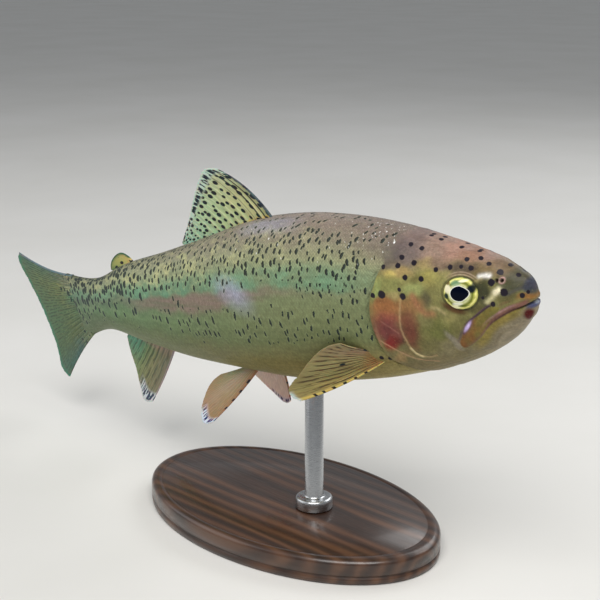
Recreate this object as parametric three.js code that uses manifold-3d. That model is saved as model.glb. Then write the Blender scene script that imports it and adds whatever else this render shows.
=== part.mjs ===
// Rainbow trout, life size, swimming with a slight flex of the tail, held over a plain base by one rod.
// Units are millimetres. The finished frame has +X towards the head, +Y to the fish's left and +Z up,
// with its origin at the centre of the underside of the base.
// The fish is first built straight, in fish coordinates: s is the distance behind the snout along the
// body's centre line (x = -s), y is to the fish's left and z is up. It is parted there with thin cuts,
// then bent along its centre line, and last placed on its rod by one turned group.

import * as THREE from 'three';
import { mergeVertices } from 'three/addons/utils/BufferGeometryUtils.js';
import Module from 'manifold-3d';

const wasm = await Module();
wasm.setup();

// ---------------------------------------------------------------- driving dimensions

const STANDARD_LENGTH = 320; // snout to the end of the tail stalk
const PART_GAP = 0.3; // clearance of every thin cut
const FAR = 90; // reach of a cutting tool, past any part of the body

// Outline of the body: distance behind the snout, height of the back, depth of the belly, half width.
const BODY_STATIONS = [
  [0, 1.5, 1.5, 0],
  [2, 7.5, -7.2, 4.1],
  [6, 10.2, -11.4, 7.0],
  [13, 15.0, -17.6, 9.6],
  [24, 19.8, -23.9, 12.3],
  [40, 25.4, -29.8, 15.2],
  [62, 32.0, -34.6, 18.6],
  [90, 37.6, -38.9, 20.6],
  [122, 40.3, -40.8, 22.4],
  [150, 39.2, -39.8, 22.0],
  [185, 33.0, -36.0, 19.2],
  [225, 26.2, -30.8, 14.6],
  [262, 21.2, -23.2, 9.8],
  [295, 14.4, -16.2, 5.8],
  [322, 18.4, -20.8, 1.6],
];
const SECTION_FULLNESS = 0.92; // 1 is an ellipse, less is fuller
const WIDEST_LEVEL = 0.04; // how far the widest level lies above mid depth, as a share of half depth
const BODY_RINGS = 36;
const BODY_SIDES = 28;
const RING_CROWDING = 1.6; // above 1, rings crowd towards the snout
const NOSE_CAP = 0.15; // where the first ring lies behind the snout
const CORE_SHARE = 0.5; // rings and sides of a hidden cutting core, as a share of the body's

// Flex of the body, as the end of the tail stalk lies from the line of the head.
const TAIL_SWING = 9.2; // to the fish's left
const TAIL_DROP = 6.2;

// Attitude of the swimming fish over its base.
const NOSE_UP = THREE.MathUtils.degToRad(10.8);
const LEFT_SIDE_UP = THREE.MathUtils.degToRad(10.7);
const HEADING = THREE.MathUtils.degToRad(2.3);

// Lines that part the flesh, as [s, z].
const GILL_OPENING = [[61.5, FAR], [61.5, 26], [63.5, 18.5], [69, 11], [73, 3], [74.5, -6], [74.2, -15],
  [72, -23], [66, -29], [57, -33.5], [50, -FAR]];
const GILL_COVER_FRONT = [[59, 20], [56.5, 12], [56, 3], [57.5, -6], [59, -14], [57.5, -21], [52, -27],
  [44, -31.5]];
const TRUNK_PARTING = 168; // between the front and rear trunk
const STALK_PARTING = 283; // between the rear trunk and the tail stalk
const MOUTH_FRONT = [-2, -1.9]; // front of the mouth line
const MOUTH_CORNER = [35, -19.6];
const MOUTH_NOTCH = 1.7; // opening of the lips at the front
const JAW_HINGE = [46, -25.5];
const JAW_REAR = [49, -FAR];

// Plates of the head: how far each stands proud of the head, and its whole thickness.
const GILL_COVER_PROUD = 0.5;
const GILL_COVER_DEPTH = 2.6;
const RECESS_REACH = 1; // how far a recess tool stands past the plate it makes room for
const ISTHMUS_HALF = 3.2; // half width of the throat between the gill covers
const MAXILLA_PROUD = 0.7;
const MAXILLA_DEPTH = 2.0;
const MAXILLA_OUTLINE = [[12.5, -2.6], [17.5, -2.4], [23, -5], [28.5, -8.2], [33.5, -13.2], [36.2, -17.3],
  [35.6, -19.6], [31.8, -19.5], [28, -17], [23.5, -12.7], [18, -7.7], [13.5, -4.6]];

// Eyes, as half sizes along the head, in height and in depth.
const EYE_PLACE = [28.4, 5.4];
const EYE_HALF = [8.8, 7.3, 3.6];
const EYE_PROUD = 2; // how far the eye bulges from the head
const EYE_TURNED_FORWARD = THREE.MathUtils.degToRad(12);
const EYE_TURNED_UP = THREE.MathUtils.degToRad(9);
const EYE_SEGMENTS = [16, 9];

// Fins: each has its base, the free margin from the tip of the first ray to that of the last, the bow
// of the first ray, the thickness at root and margin, and its number of rays.
const FIN_SUNK = 2.5; // depth of a fin's root below the skin before it is parted
const RAY_RELIEF = 0.78; // thickness of the web between rays, as a share of a ray's
const THINNING = 0.7; // below 1, a fin thins faster near its root
const BOW_FADE = 2; // how fast the first ray's bow dies away over the rays behind it
const LOBE_FADE = 4; // the same for the outer rays of the two tail lobes
const BOW_FORWARD = 0.7; // direction of a middle fin's bow, forward and away from the body
const PAIRED_BOW = [0.6, 0.5, -0.6]; // direction of a paired fin's bow, forward, outward and down
const DORSAL = {
  base: [135.6, 204],
  margin: [[168, 67.2], [173, 66.6], [179.5, 61.4], [188.5, 51.4], [197.5, 40.4], [207, 30.6]],
  bow: 4.4,
  thickness: [2.4, 0.75],
  rays: 9,
  rows: 4,
};
const ADIPOSE = {
  base: [252, 270],
  margin: [[255.5, 25.2], [260.5, 27.6], [267.5, 26.2], [273, 22.6], [275.6, 18.6]],
  bow: 0.4,
  thickness: [2.6, 1.1],
  rays: 5,
  rows: 3,
};
const ANAL = {
  base: [239, 276],
  margin: [[283.5, -63], [287.6, -59.6], [286.6, -50.3], [284.6, -41], [284, -30], [282.5, -20.6]],
  bow: 1.4,
  thickness: [2.2, 0.75],
  rays: 8,
  rows: 4,
};
const CAUDAL = {
  base: [316, 17.4, -19.4],
  margin: [[371, 37], [371.6, 31], [368.4, 18], [365, 4], [363.6, -9], [364, -25.5], [368.2, -44],
    [366.6, -49.2]],
  bow: -3.8,
  lastBow: -1.4,
  thickness: [3.0, 0.75],
  rays: 11,
  rows: 5,
};
// Paired fins are given for the right side, as [s, y, z].
const PECTORAL = {
  base: [[74.5, -13.5, -24.4], [79.5, -14.5, -20.6]],
  margin: [[123.5, -32, -39.8], [125.6, -31, -35.2], [116.5, -28.5, -25.8], [111, -26.5, -20.8],
    [103.5, -25, -16], [93, -23.6, -12.6]],
  bow: 2.2,
  lift: 1.5,
  thickness: [2.2, 0.7],
  rays: 8,
  rows: 5,
};
const PELVIC_RIGHT = {
  base: [[170, -8, -35.2], [182, -5, -35.6]],
  margin: [[197.5, -26, -58.4], [202, -25.5, -57.6], [205, -22, -52], [205.4, -17, -46.4],
    [202.5, -13, -41], [198, -9.5, -37.6]],
  bow: 1.6,
  lift: 0,
  thickness: [2.2, 0.7],
  rays: 7,
  rows: 4,
};
const PELVIC_LEFT = {
  base: PELVIC_RIGHT.base,
  margin: [[189.5, -23, -68.6], [194.5, -23.5, -68.2], [199.5, -21.5, -61], [202, -17.5, -52],
    [201.5, -13, -44.4], [198, -9.5, -38.6]],
  bow: 1.6,
  lift: 0,
  thickness: [2.2, 0.7],
  rays: 7,
  rows: 4,
};

// Display stand.
const BASE_LENGTH = 172;
const BASE_WIDTH = 106;
const BASE_HEIGHT = 12;
const BASE_CHAMFER = 2;
const BASE_SEGMENTS = 48;
const ROD_RADIUS = 4.5;
const ROD_SEGMENTS = 20;
const BALANCE_STATION = 141; // the body's centre of mass, which stands over the middle of the base
const ROD_FORWARD = 17; // how far ahead of the middle the rod stands, clear of the pelvic fins
const COLLAR_RADIUS = 9;
const COLLAR_HEIGHT = 6;
const AXIS_HEIGHT = 114; // height of the body's centre line above the floor, at its balance

// ---------------------------------------------------------------- curves

// A smooth function through [x, value] knots: cubic Hermite pieces, slopes from the neighbours.
function smoothCurve(knots) {
  const x = knots.map((knot) => knot[0]);
  const value = knots.map((knot) => knot[1]);
  const last = knots.length - 1;
  const rise = x.slice(1).map((end, i) => (value[i + 1] - value[i]) / (end - x[i]));
  const slope = value.map((unused, i) => {
    if (i === 0 || i === last) return 0;
    const before = x[i] - x[i - 1];
    const after = x[i + 1] - x[i];
    return (rise[i - 1] * after + rise[i] * before) / (before + after);
  });
  slope[0] = 1.5 * rise[0] - 0.5 * slope[1];
  slope[last] = 1.5 * rise[last - 1] - 0.5 * slope[last - 1];
  return (at) => {
    let i = 0;
    while (i < last - 1 && at > x[i + 1]) i += 1;
    const span = x[i + 1] - x[i];
    const t = (at - x[i]) / span;
    const h = t * t * (3 - 2 * t);
    const startSlope = slope[i] * span * t * (1 - t) * (1 - t);
    const endSlope = slope[i + 1] * span * t * t * (t - 1);
    return value[i] * (1 - h) + value[i + 1] * h + startSlope + endSlope;
  };
}

// A smooth path through points of any dimension, run from 0 to 1 by the length of its chords.
function smoothPath(points) {
  const run = [0];
  for (let i = 1; i < points.length; i += 1) {
    const step = Math.hypot(...points[i].map((value, axis) => value - points[i - 1][axis]));
    run.push(run[i - 1] + step);
  }
  const total = run[run.length - 1];
  const axes = points[0].map((unused, axis) =>
    smoothCurve(points.map((point, i) => [run[i] / total, point[axis]])));
  return (t) => axes.map((curve) => curve(t));
}

// ---------------------------------------------------------------- body surface

// Stations crowd towards the snout, so the head ends in a round nose.
const nearness = (s) => Math.sqrt(Math.max(s, 0) / STANDARD_LENGTH);
const backHeight = smoothCurve(BODY_STATIONS.map(([s, back]) => [nearness(s), back]));
const bellyDepth = smoothCurve(BODY_STATIONS.map(([s, , belly]) => [nearness(s), belly]));
const halfWidth = smoothCurve(BODY_STATIONS.map(([s, , , width]) => [nearness(s), width]));
const TAIL_END = BODY_STATIONS[BODY_STATIONS.length - 1][0];

function section(s) {
  const u = nearness(s);
  const back = backHeight(u);
  const belly = bellyDepth(u);
  const widest = (back + belly) / 2 + (WIDEST_LEVEL * (back - belly)) / 2;
  return { back, belly, widest, width: halfWidth(u) };
}

const fuller = (value) => Math.sign(value) * Math.abs(value) ** SECTION_FULLNESS;

function bodyRing(s, proud, sides) {
  const { back, belly, widest, width } = section(s);
  const points = [];
  for (let i = 0; i < sides; i += 1) {
    const angle = (i / sides) * 2 * Math.PI;
    const across = fuller(Math.cos(angle));
    const up = fuller(Math.sin(angle));
    const reach = up > 0 ? back - widest : widest - belly;
    points.push(new THREE.Vector3(-s, (width + proud) * across, widest + (reach + proud) * up));
  }
  return points;
}

// Half width of the body at a given height.
function widthAt(s, z) {
  const { back, belly, widest, width } = section(s);
  const reach = z > widest ? back - widest : widest - belly;
  const up = Math.min(1, Math.abs(z - widest) / reach) ** (1 / SECTION_FULLNESS);
  return width * Math.sqrt(1 - up * up) ** SECTION_FULLNESS;
}

// A closed solid through rings of points, each end closed by a fan.
function loft(rings) {
  const sides = rings[0].length;
  const positions = [];
  const indices = [];
  rings.forEach((ring) => ring.forEach((point) => positions.push(point.x, point.y, point.z)));
  for (let r = 0; r < rings.length - 1; r += 1) {
    for (let i = 0; i < sides; i += 1) {
      const a = r * sides + i;
      const b = r * sides + ((i + 1) % sides);
      indices.push(a, a + sides, b, b, a + sides, b + sides);
    }
  }
  [0, rings.length - 1].forEach((r) => {
    const centre = rings[r].reduce((sum, point) => sum.add(point), new THREE.Vector3());
    centre.divideScalar(sides);
    const hub = positions.length / 3;
    positions.push(centre.x, centre.y, centre.z);
    for (let i = 0; i < sides; i += 1) {
      const a = r * sides + i;
      const b = r * sides + ((i + 1) % sides);
      indices.push(...(r === 0 ? [hub, a, b] : [hub, b, a]));
    }
  });
  const geometry = new THREE.BufferGeometry();
  geometry.setAttribute('position', new THREE.Float32BufferAttribute(positions, 3));
  geometry.setIndex(indices);
  return geometry;
}

// The whole straight body, standing proud of its true surface by a given amount.
function bodyLoft(proud, share = 1) {
  const ringCount = Math.round(BODY_RINGS * share);
  const sides = Math.round(BODY_SIDES * share);
  const rings = [];
  for (let r = 0; r <= ringCount; r += 1) {
    const u = r / ringCount;
    const s = NOSE_CAP + (TAIL_END - NOSE_CAP) * u ** RING_CROWDING;
    rings.push(bodyRing(s, proud, sides));
  }
  if (proud > 0) {
    rings[0].forEach((point) => point.setX(point.x + proud));
    rings[ringCount].forEach((point) => point.setX(point.x - proud));
  }
  return loft(rings);
}

// ---------------------------------------------------------------- joining and cutting

function toManifold(geometry) {
  const bare = geometry.clone();
  bare.deleteAttribute('normal');
  bare.deleteAttribute('uv');
  const merged = mergeVertices(bare, 1e-4);
  return new wasm.Manifold(new wasm.Mesh({
    numProp: 3,
    vertProperties: new Float32Array(merged.attributes.position.array),
    triVerts: new Uint32Array(merged.index.array),
  }));
}

function toGeometry(manifold) {
  const mesh = manifold.getMesh();
  const geometry = new THREE.BufferGeometry();
  geometry.setAttribute('position', new THREE.Float32BufferAttribute(mesh.vertProperties, 3));
  geometry.setIndex(Array.from(mesh.triVerts));
  return geometry;
}

// A tool that reaches across the body: an outline of [s, z] points, extruded from one y to another.
function prism(outline, fromY, toY) {
  const shape = new THREE.Shape(outline.map(([s, z]) => new THREE.Vector2(-s, z)));
  const geometry = new THREE.ExtrudeGeometry(shape, { depth: toY - fromY, bevelEnabled: false });
  geometry.rotateX(Math.PI / 2);
  geometry.translate(0, toY, 0);
  return toManifold(geometry);
}

// An outline moved outwards by a distance, with mitred corners.
function grownOutline(outline, distance) {
  const corners = outline.map(([s, z]) => new THREE.Vector2(s, z));
  const turn = THREE.ShapeUtils.isClockWise(corners) ? -1 : 1;
  const normals = corners.map((corner, i) => {
    const edge = corners[(i + 1) % corners.length].clone().sub(corner).normalize();
    return new THREE.Vector2(turn * edge.y, -turn * edge.x);
  });
  return corners.map((corner, i) => {
    const before = normals[(i + corners.length - 1) % corners.length];
    const mitre = before.clone().add(normals[i]).divideScalar(1 + before.dot(normals[i]));
    const moved = corner.clone().addScaledVector(mitre, distance);
    return [moved.x, moved.y];
  });
}

// Points along a smooth path, for an outline with round stretches.
function smoothed(points, steps) {
  const path = smoothPath(points);
  return Array.from({ length: steps + 1 }, (unused, i) => path(i / steps));
}

const slab = (fromS, toS) => prism([[fromS, -FAR], [toS, -FAR], [toS, FAR], [fromS, FAR]], -FAR, FAR);

// ---------------------------------------------------------------- flex of the body

function bendPoint(point) {
  const share = -point.x / STANDARD_LENGTH;
  const sideways = (3 * TAIL_SWING * share ** 2) / STANDARD_LENGTH;
  const downwards = (3 * TAIL_DROP * share ** 2) / STANDARD_LENGTH;
  const across = point.y / Math.hypot(1, sideways);
  const up = point.z / Math.hypot(1, downwards);
  return new THREE.Vector3(
    point.x + across * sideways - up * downwards,
    across + TAIL_SWING * share ** 3,
    up - TAIL_DROP * share ** 3,
  );
}

function bent(geometry) {
  const position = geometry.attributes.position;
  const point = new THREE.Vector3();
  for (let i = 0; i < position.count; i += 1) {
    point.fromBufferAttribute(position, i);
    const moved = bendPoint(point);
    position.setXYZ(i, moved.x, moved.y, moved.z);
  }
  return geometry;
}

// ---------------------------------------------------------------- head, trunk and tail stalk

function fleshPieces() {
  const body = toManifold(bodyLoft(0));
  const opening = smoothed(GILL_OPENING, 30);
  const openingBehind = opening.map(([s, z]) => [s + PART_GAP, z]);
  const headRegion = prism([[-FAR, FAR], ...opening, [-FAR, -FAR]], -FAR, FAR);
  const frontRegion = prism([...openingBehind, [TRUNK_PARTING, -FAR], [TRUNK_PARTING, FAR]], -FAR, FAR);
  return {
    headWhole: body.intersect(headRegion),
    headRegion,
    trunkFront: body.intersect(frontRegion),
    trunkRear: body.intersect(slab(TRUNK_PARTING + PART_GAP, STALK_PARTING)),
    tailStalk: body.intersect(slab(STALK_PARTING + PART_GAP, STANDARD_LENGTH + FAR)),
  };
}

// The two tools that split the lower jaw from the head along the mouth line.
function jawTools() {
  const hinge = JAW_HINGE;
  const front = MOUTH_FRONT;
  const rear = JAW_REAR;
  const below = [[front[0], front[1] - MOUTH_NOTCH / 2], MOUTH_CORNER, hinge, rear, [front[0], -FAR]];
  const above = [
    [front[0], front[1] + MOUTH_NOTCH / 2],
    [MOUTH_CORNER[0], MOUTH_CORNER[1] + PART_GAP],
    [hinge[0] + PART_GAP, hinge[1] + PART_GAP],
    [rear[0] + PART_GAP, rear[1]],
    [front[0], -FAR],
  ];
  return { jaw: prism(below, -FAR, FAR), clearance: prism(above, -FAR, FAR) };
}

// A plate let into one side of the head: side is -1 for the right and 1 for the left.
function sidePlate(side, outline, proud, depth) {
  const region = (grown) => {
    const shape = grownOutline(outline, grown);
    const inner = ISTHMUS_HALF - grown;
    return side < 0 ? prism(shape, -FAR, -inner) : prism(shape, inner, FAR);
  };
  const core = toManifold(bodyLoft(proud - depth, CORE_SHARE));
  const plate = toManifold(bodyLoft(proud)).subtract(core).intersect(region(0));
  const deeper = toManifold(bodyLoft(proud - depth - PART_GAP, CORE_SHARE));
  const wider = toManifold(bodyLoft(proud + RECESS_REACH, CORE_SHARE));
  const recess = wider.subtract(deeper).intersect(region(PART_GAP));
  return { plate, recess };
}

function gillCoverOutline() {
  const front = smoothed(GILL_COVER_FRONT, 12);
  const top = front[0];
  const bottom = front[front.length - 1];
  return [...front, [bottom[0], -FAR / 2], [FAR, -FAR / 2], [FAR, top[1]]];
}

function eyePlacement(side) {
  const [s, z] = EYE_PLACE;
  const matrix = new THREE.Matrix4();
  const turn = new THREE.Euler(side * EYE_TURNED_UP, 0, side * -EYE_TURNED_FORWARD, 'ZYX');
  const depth = widthAt(s, z) + EYE_PROUD - EYE_HALF[2];
  matrix.makeRotationFromEuler(turn);
  matrix.setPosition(-s, side * depth, z);
  return matrix;
}

function eyeBall(side, grown) {
  const geometry = new THREE.SphereGeometry(1, ...EYE_SEGMENTS);
  geometry.rotateX(Math.PI / 2);
  geometry.scale(EYE_HALF[0] + grown, EYE_HALF[2] + grown, EYE_HALF[1] + grown);
  geometry.applyMatrix4(eyePlacement(side));
  return toManifold(geometry);
}

// ---------------------------------------------------------------- fins

// A thin closed fan: points of its middle surface run base to margin along each ray.
function finSolid({ rays, rows, thickness, middle }) {
  const columns = 2 * rays;
  const positions = [];
  const indices = [];
  const index = (sheet, column, row) => (sheet * (columns + 1) + column) * (rows + 1) + row;
  const step = 0.01; // spacing for slopes of the middle surface
  for (let sheet = 0; sheet < 2; sheet += 1) {
    for (let column = 0; column <= columns; column += 1) {
      for (let row = 0; row <= rows; row += 1) {
        const u = column / columns;
        const v = row / rows;
        const along = middle(u, Math.min(v + step, 1)).sub(middle(u, Math.max(v - step, 0)));
        const across = middle(Math.min(u + step, 1), v).sub(middle(Math.max(u - step, 0), v));
        const normal = across.cross(along).normalize();
        const relief = column % 2 === 0 ? 1 : RAY_RELIEF;
        const thick = THREE.MathUtils.lerp(thickness[0], thickness[1], v ** THINNING) * relief;
        const point = middle(u, v).addScaledVector(normal, (sheet - 0.5) * thick);
        positions.push(point.x, point.y, point.z);
      }
    }
  }
  const quad = (a, b, c, d) => indices.push(a, b, c, a, c, d);
  for (let column = 0; column < columns; column += 1) {
    for (let row = 0; row < rows; row += 1) {
      quad(index(1, column, row), index(1, column + 1, row), index(1, column + 1, row + 1),
        index(1, column, row + 1));
      quad(index(0, column, row), index(0, column, row + 1), index(0, column + 1, row + 1),
        index(0, column + 1, row));
    }
    quad(index(0, column, 0), index(0, column + 1, 0), index(1, column + 1, 0), index(1, column, 0));
    quad(index(0, column + 1, rows), index(0, column, rows), index(1, column, rows),
      index(1, column + 1, rows));
  }
  for (let row = 0; row < rows; row += 1) {
    quad(index(0, 0, row + 1), index(0, 0, row), index(1, 0, row), index(1, 0, row + 1));
    quad(index(0, columns, row), index(0, columns, row + 1), index(1, columns, row + 1),
      index(1, columns, row));
  }
  const geometry = new THREE.BufferGeometry();
  geometry.setAttribute('position', new THREE.Float32BufferAttribute(positions, 3));
  geometry.setIndex(indices);
  return geometry;
}

// Middle surface of a fin from its base, its margin and the bow of its first and last rays.
function finMiddle(basePoint, marginPoint, bowAt) {
  return (u, v) => {
    const base = basePoint(u);
    const point = base.clone().lerp(marginPoint(u), v);
    return point.addScaledVector(bowAt(u), 4 * v * (1 - v));
  };
}

// A fin in the middle plane, on the back when side is 1 and under the belly when side is -1.
function medianFin(fin, side) {
  const margin = smoothPath(fin.margin);
  const basePoint = (u) => {
    const s = THREE.MathUtils.lerp(fin.base[0], fin.base[1], u);
    const surface = side > 0 ? section(s).back : section(s).belly;
    return new THREE.Vector3(-s, 0, surface - side * FIN_SUNK);
  };
  const marginPoint = (u) => {
    const [s, z] = margin(u);
    return new THREE.Vector3(-s, 0, z);
  };
  const bowAt = (u) => {
    const bow = fin.bow * (1 - u) ** BOW_FADE;
    return new THREE.Vector3(BOW_FORWARD * bow, 0, BOW_FORWARD * bow * side);
  };
  return finSolid({ ...fin, middle: finMiddle(basePoint, marginPoint, bowAt) });
}

function caudalFin() {
  const [s, top, bottom] = CAUDAL.base;
  const margin = smoothPath(CAUDAL.margin);
  const basePoint = (u) => new THREE.Vector3(-s, 0, THREE.MathUtils.lerp(top, bottom, u));
  const marginPoint = (u) => {
    const [marginS, z] = margin(u);
    return new THREE.Vector3(-marginS, 0, z);
  };
  const bowAt = (u) => {
    const up = CAUDAL.bow * (1 - u) ** LOBE_FADE - CAUDAL.lastBow * u ** LOBE_FADE;
    return new THREE.Vector3(0, 0, up);
  };
  return finSolid({ ...CAUDAL, middle: finMiddle(basePoint, marginPoint, bowAt) });
}

// A paired fin: side is -1 for the right and 1 for the left.
function pairedFin(fin, side) {
  const base = smoothPath(fin.base);
  const margin = smoothPath(fin.margin);
  const place = ([s, y, z]) => new THREE.Vector3(-s, -side * y, z);
  const bowAt = (u) => {
    const bow = fin.bow * (1 - u) ** BOW_FADE;
    const [forward, outward, upward] = PAIRED_BOW.map((part) => part * bow);
    return new THREE.Vector3(forward, side * (outward + fin.lift), upward);
  };
  return finSolid({ ...fin, middle: finMiddle((u) => place(base(u)), (u) => place(margin(u)), bowAt) });
}

// ---------------------------------------------------------------- stand

function standBase() {
  const profile = [
    [0, 0],
    [1 - BASE_CHAMFER / BASE_WIDTH, 0],
    [1, BASE_CHAMFER],
    [1, BASE_HEIGHT - BASE_CHAMFER],
    [1 - (2 * BASE_CHAMFER) / BASE_WIDTH, BASE_HEIGHT],
    [0, BASE_HEIGHT],
  ].map(([radius, height]) => new THREE.Vector2(radius, height));
  const geometry = new THREE.LatheGeometry(profile, BASE_SEGMENTS);
  geometry.rotateX(Math.PI / 2);
  geometry.scale(BASE_LENGTH / 2, BASE_WIDTH / 2, 1);
  return geometry;
}

// The rod with its collar, long enough to run into the body, which then cuts it to length.
function rodStock() {
  const profile = [
    [0, BASE_HEIGHT + PART_GAP],
    [COLLAR_RADIUS, BASE_HEIGHT + PART_GAP],
    [COLLAR_RADIUS, BASE_HEIGHT + COLLAR_HEIGHT - 1],
    [COLLAR_RADIUS - 1, BASE_HEIGHT + COLLAR_HEIGHT],
    [ROD_RADIUS, BASE_HEIGHT + COLLAR_HEIGHT],
    [ROD_RADIUS, AXIS_HEIGHT],
    [0, AXIS_HEIGHT],
  ].map(([radius, height]) => new THREE.Vector2(radius, height));
  const geometry = new THREE.LatheGeometry(profile, ROD_SEGMENTS);
  geometry.rotateX(Math.PI / 2);
  geometry.translate(ROD_FORWARD, 0, 0);
  return geometry;
}

// ---------------------------------------------------------------- assembly

const LOOKS = {
  back: { color: 0x8a8262, roughness: 0.35, metalness: 0 },
  stalk: { color: 0x7f9069, roughness: 0.35, metalness: 0 },
  head: { color: 0x8f7f5c, roughness: 0.3, metalness: 0 },
  cheek: { color: 0xa5764f, roughness: 0.3, metalness: 0 },
  jaw: { color: 0xb3a283, roughness: 0.35, metalness: 0 },
  lip: { color: 0xb38a45, roughness: 0.35, metalness: 0 },
  eye: { color: 0x1a1c24, roughness: 0.06, metalness: 0 },
  palefin: { color: 0xa9ad7a, roughness: 0.4, metalness: 0 },
  fin: { color: 0xb09a62, roughness: 0.4, metalness: 0 },
  wood: { color: 0x3a2a20, roughness: 0.45, metalness: 0 },
  steel: { color: 0xb8bcc0, roughness: 0.3, metalness: 0.9 },
};

function part(name, geometry, look) {
  const mesh = new THREE.Mesh(geometry, new THREE.MeshStandardMaterial(look));
  mesh.name = name;
  return mesh;
}

const largestPiece = (manifold) => manifold.decompose().sort((a, b) => b.volume() - a.volume())[0];

const SIDES = [['right', -1], ['left', 1]];

const fish = new THREE.Group();
fish.rotation.set(LEFT_SIDE_UP, -NOSE_UP, HEADING, 'ZYX');
const balance = bendPoint(new THREE.Vector3(-BALANCE_STATION, 0, 0)).applyEuler(fish.rotation);
fish.position.set(0, 0, AXIS_HEIGHT).sub(balance);
fish.updateMatrixWorld();

const flesh = fleshPieces();
const { jaw, clearance } = jawTools();
let head = flesh.headWhole.subtract(clearance);
let lowerJaw = flesh.headWhole.intersect(jaw);
const maxillaOutline = smoothed([...MAXILLA_OUTLINE, MAXILLA_OUTLINE[0]], 22).slice(0, -1);

SIDES.forEach(([word, side]) => {
  const cover = sidePlate(side, gillCoverOutline(), GILL_COVER_PROUD, GILL_COVER_DEPTH);
  const maxilla = sidePlate(side, maxillaOutline, MAXILLA_PROUD, MAXILLA_DEPTH);
  const plate = cover.plate.intersect(flesh.headRegion);
  head = head.subtract(cover.recess).subtract(maxilla.recess).subtract(eyeBall(side, PART_GAP));
  lowerJaw = lowerJaw.subtract(cover.recess).subtract(maxilla.recess);
  fish.add(part(`gill_cover_${word}`, bent(toGeometry(plate)), LOOKS.cheek));
  fish.add(part(`maxilla_${word}`, bent(toGeometry(maxilla.plate)), LOOKS.lip));
  fish.add(part(`eye_${word}`, bent(toGeometry(eyeBall(side, 0))), LOOKS.eye));
});

fish.add(part('head', bent(toGeometry(head)), LOOKS.head));
fish.add(part('lower_jaw', bent(toGeometry(lowerJaw)), LOOKS.jaw));
fish.add(part('trunk_front', bent(toGeometry(flesh.trunkFront)), LOOKS.back));
fish.add(part('trunk_rear', bent(toGeometry(flesh.trunkRear)), LOOKS.back));
fish.add(part('tail_stalk', bent(toGeometry(flesh.tailStalk)), LOOKS.stalk));

const clearOfBody = toManifold(bent(bodyLoft(PART_GAP)));

// A fin is bent with the body, and its sunk root is cut away along the skin.
function addFin(name, geometry, look) {
  const parted = toManifold(bent(geometry)).subtract(clearOfBody);
  fish.add(part(name, toGeometry(largestPiece(parted)), look));
}

addFin('dorsal_fin', medianFin(DORSAL, 1), LOOKS.palefin);
addFin('adipose_fin', medianFin(ADIPOSE, 1), LOOKS.fin);
addFin('anal_fin', medianFin(ANAL, -1), LOOKS.palefin);
addFin('caudal_fin', caudalFin(), LOOKS.palefin);
addFin('pectoral_fin_right', pairedFin(PECTORAL, -1), LOOKS.fin);
addFin('pectoral_fin_left', pairedFin(PECTORAL, 1), LOOKS.fin);
addFin('pelvic_fin_right', pairedFin(PELVIC_RIGHT, -1), LOOKS.fin);
addFin('pelvic_fin_left', pairedFin(PELVIC_LEFT, 1), LOOKS.fin);

// The rod is cut to length by the belly, in the finished frame.
const placedBody = toManifold(toGeometry(clearOfBody).applyMatrix4(fish.matrixWorld));
const rod = largestPiece(toManifold(rodStock()).subtract(placedBody));

const model = new THREE.Group();
model.add(fish);
model.add(part('stand_base', standBase(), LOOKS.wood));
model.add(part('stand_rod', toGeometry(rod), LOOKS.steel));

export default model;
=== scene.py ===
"""Looks of the rainbow trout display model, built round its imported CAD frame.

Lengths are millimetres in fish coordinates: s is the distance behind the snout along the centre line of
the straight fish, y is to the fish's left and z is up. A point of the body is also named by its station
s, its level (-1 at the belly, 0 at the widest, 1 at the back) and its side (-1 right, 1 left).
place() bends the straight fish, sets it on its rod and gives metres in the row's frame.
"""

import math
from types import SimpleNamespace

import bpy
import numpy as np
from mathutils import Euler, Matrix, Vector


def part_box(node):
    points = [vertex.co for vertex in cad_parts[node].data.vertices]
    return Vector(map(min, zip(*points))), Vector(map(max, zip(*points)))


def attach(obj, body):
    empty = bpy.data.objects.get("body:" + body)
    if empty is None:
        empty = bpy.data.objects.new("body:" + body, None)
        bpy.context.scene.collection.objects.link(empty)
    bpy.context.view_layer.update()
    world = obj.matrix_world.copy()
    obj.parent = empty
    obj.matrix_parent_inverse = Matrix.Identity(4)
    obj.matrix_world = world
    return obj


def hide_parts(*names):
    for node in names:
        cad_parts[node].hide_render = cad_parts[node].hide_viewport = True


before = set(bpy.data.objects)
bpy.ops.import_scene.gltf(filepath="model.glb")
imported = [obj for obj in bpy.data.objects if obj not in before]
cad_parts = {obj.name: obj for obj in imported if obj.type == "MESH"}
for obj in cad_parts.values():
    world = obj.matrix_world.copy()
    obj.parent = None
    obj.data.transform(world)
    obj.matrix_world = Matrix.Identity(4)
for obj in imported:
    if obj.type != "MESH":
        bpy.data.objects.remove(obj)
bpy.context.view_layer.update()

# ---------------------------------------------------------------- dimensions shared with the CAD source

MM = 0.001
STANDARD_LENGTH = 320
BODY_STATIONS = (
    (0, 1.5, 1.5, 0), (2, 7.5, -7.2, 4.1), (6, 10.2, -11.4, 7.0), (13, 15.0, -17.6, 9.6),
    (24, 19.8, -23.9, 12.3), (40, 25.4, -29.8, 15.2), (62, 32.0, -34.6, 18.6),
    (90, 37.6, -38.9, 20.6), (122, 40.3, -40.8, 22.4), (150, 39.2, -39.8, 22.0),
    (185, 33.0, -36.0, 19.2), (225, 26.2, -30.8, 14.6), (262, 21.2, -23.2, 9.8),
    (295, 14.4, -16.2, 5.8), (322, 18.4, -20.8, 1.6),
)
SECTION_FULLNESS = 0.92
WIDEST_LEVEL = 0.04
TAIL_SWING = 9.2
TAIL_DROP = 6.2
NOSE_UP = math.radians(10.8)
LEFT_SIDE_UP = math.radians(10.7)
HEADING = math.radians(2.3)
BALANCE_STATION = 141
AXIS_HEIGHT = 114

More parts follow.
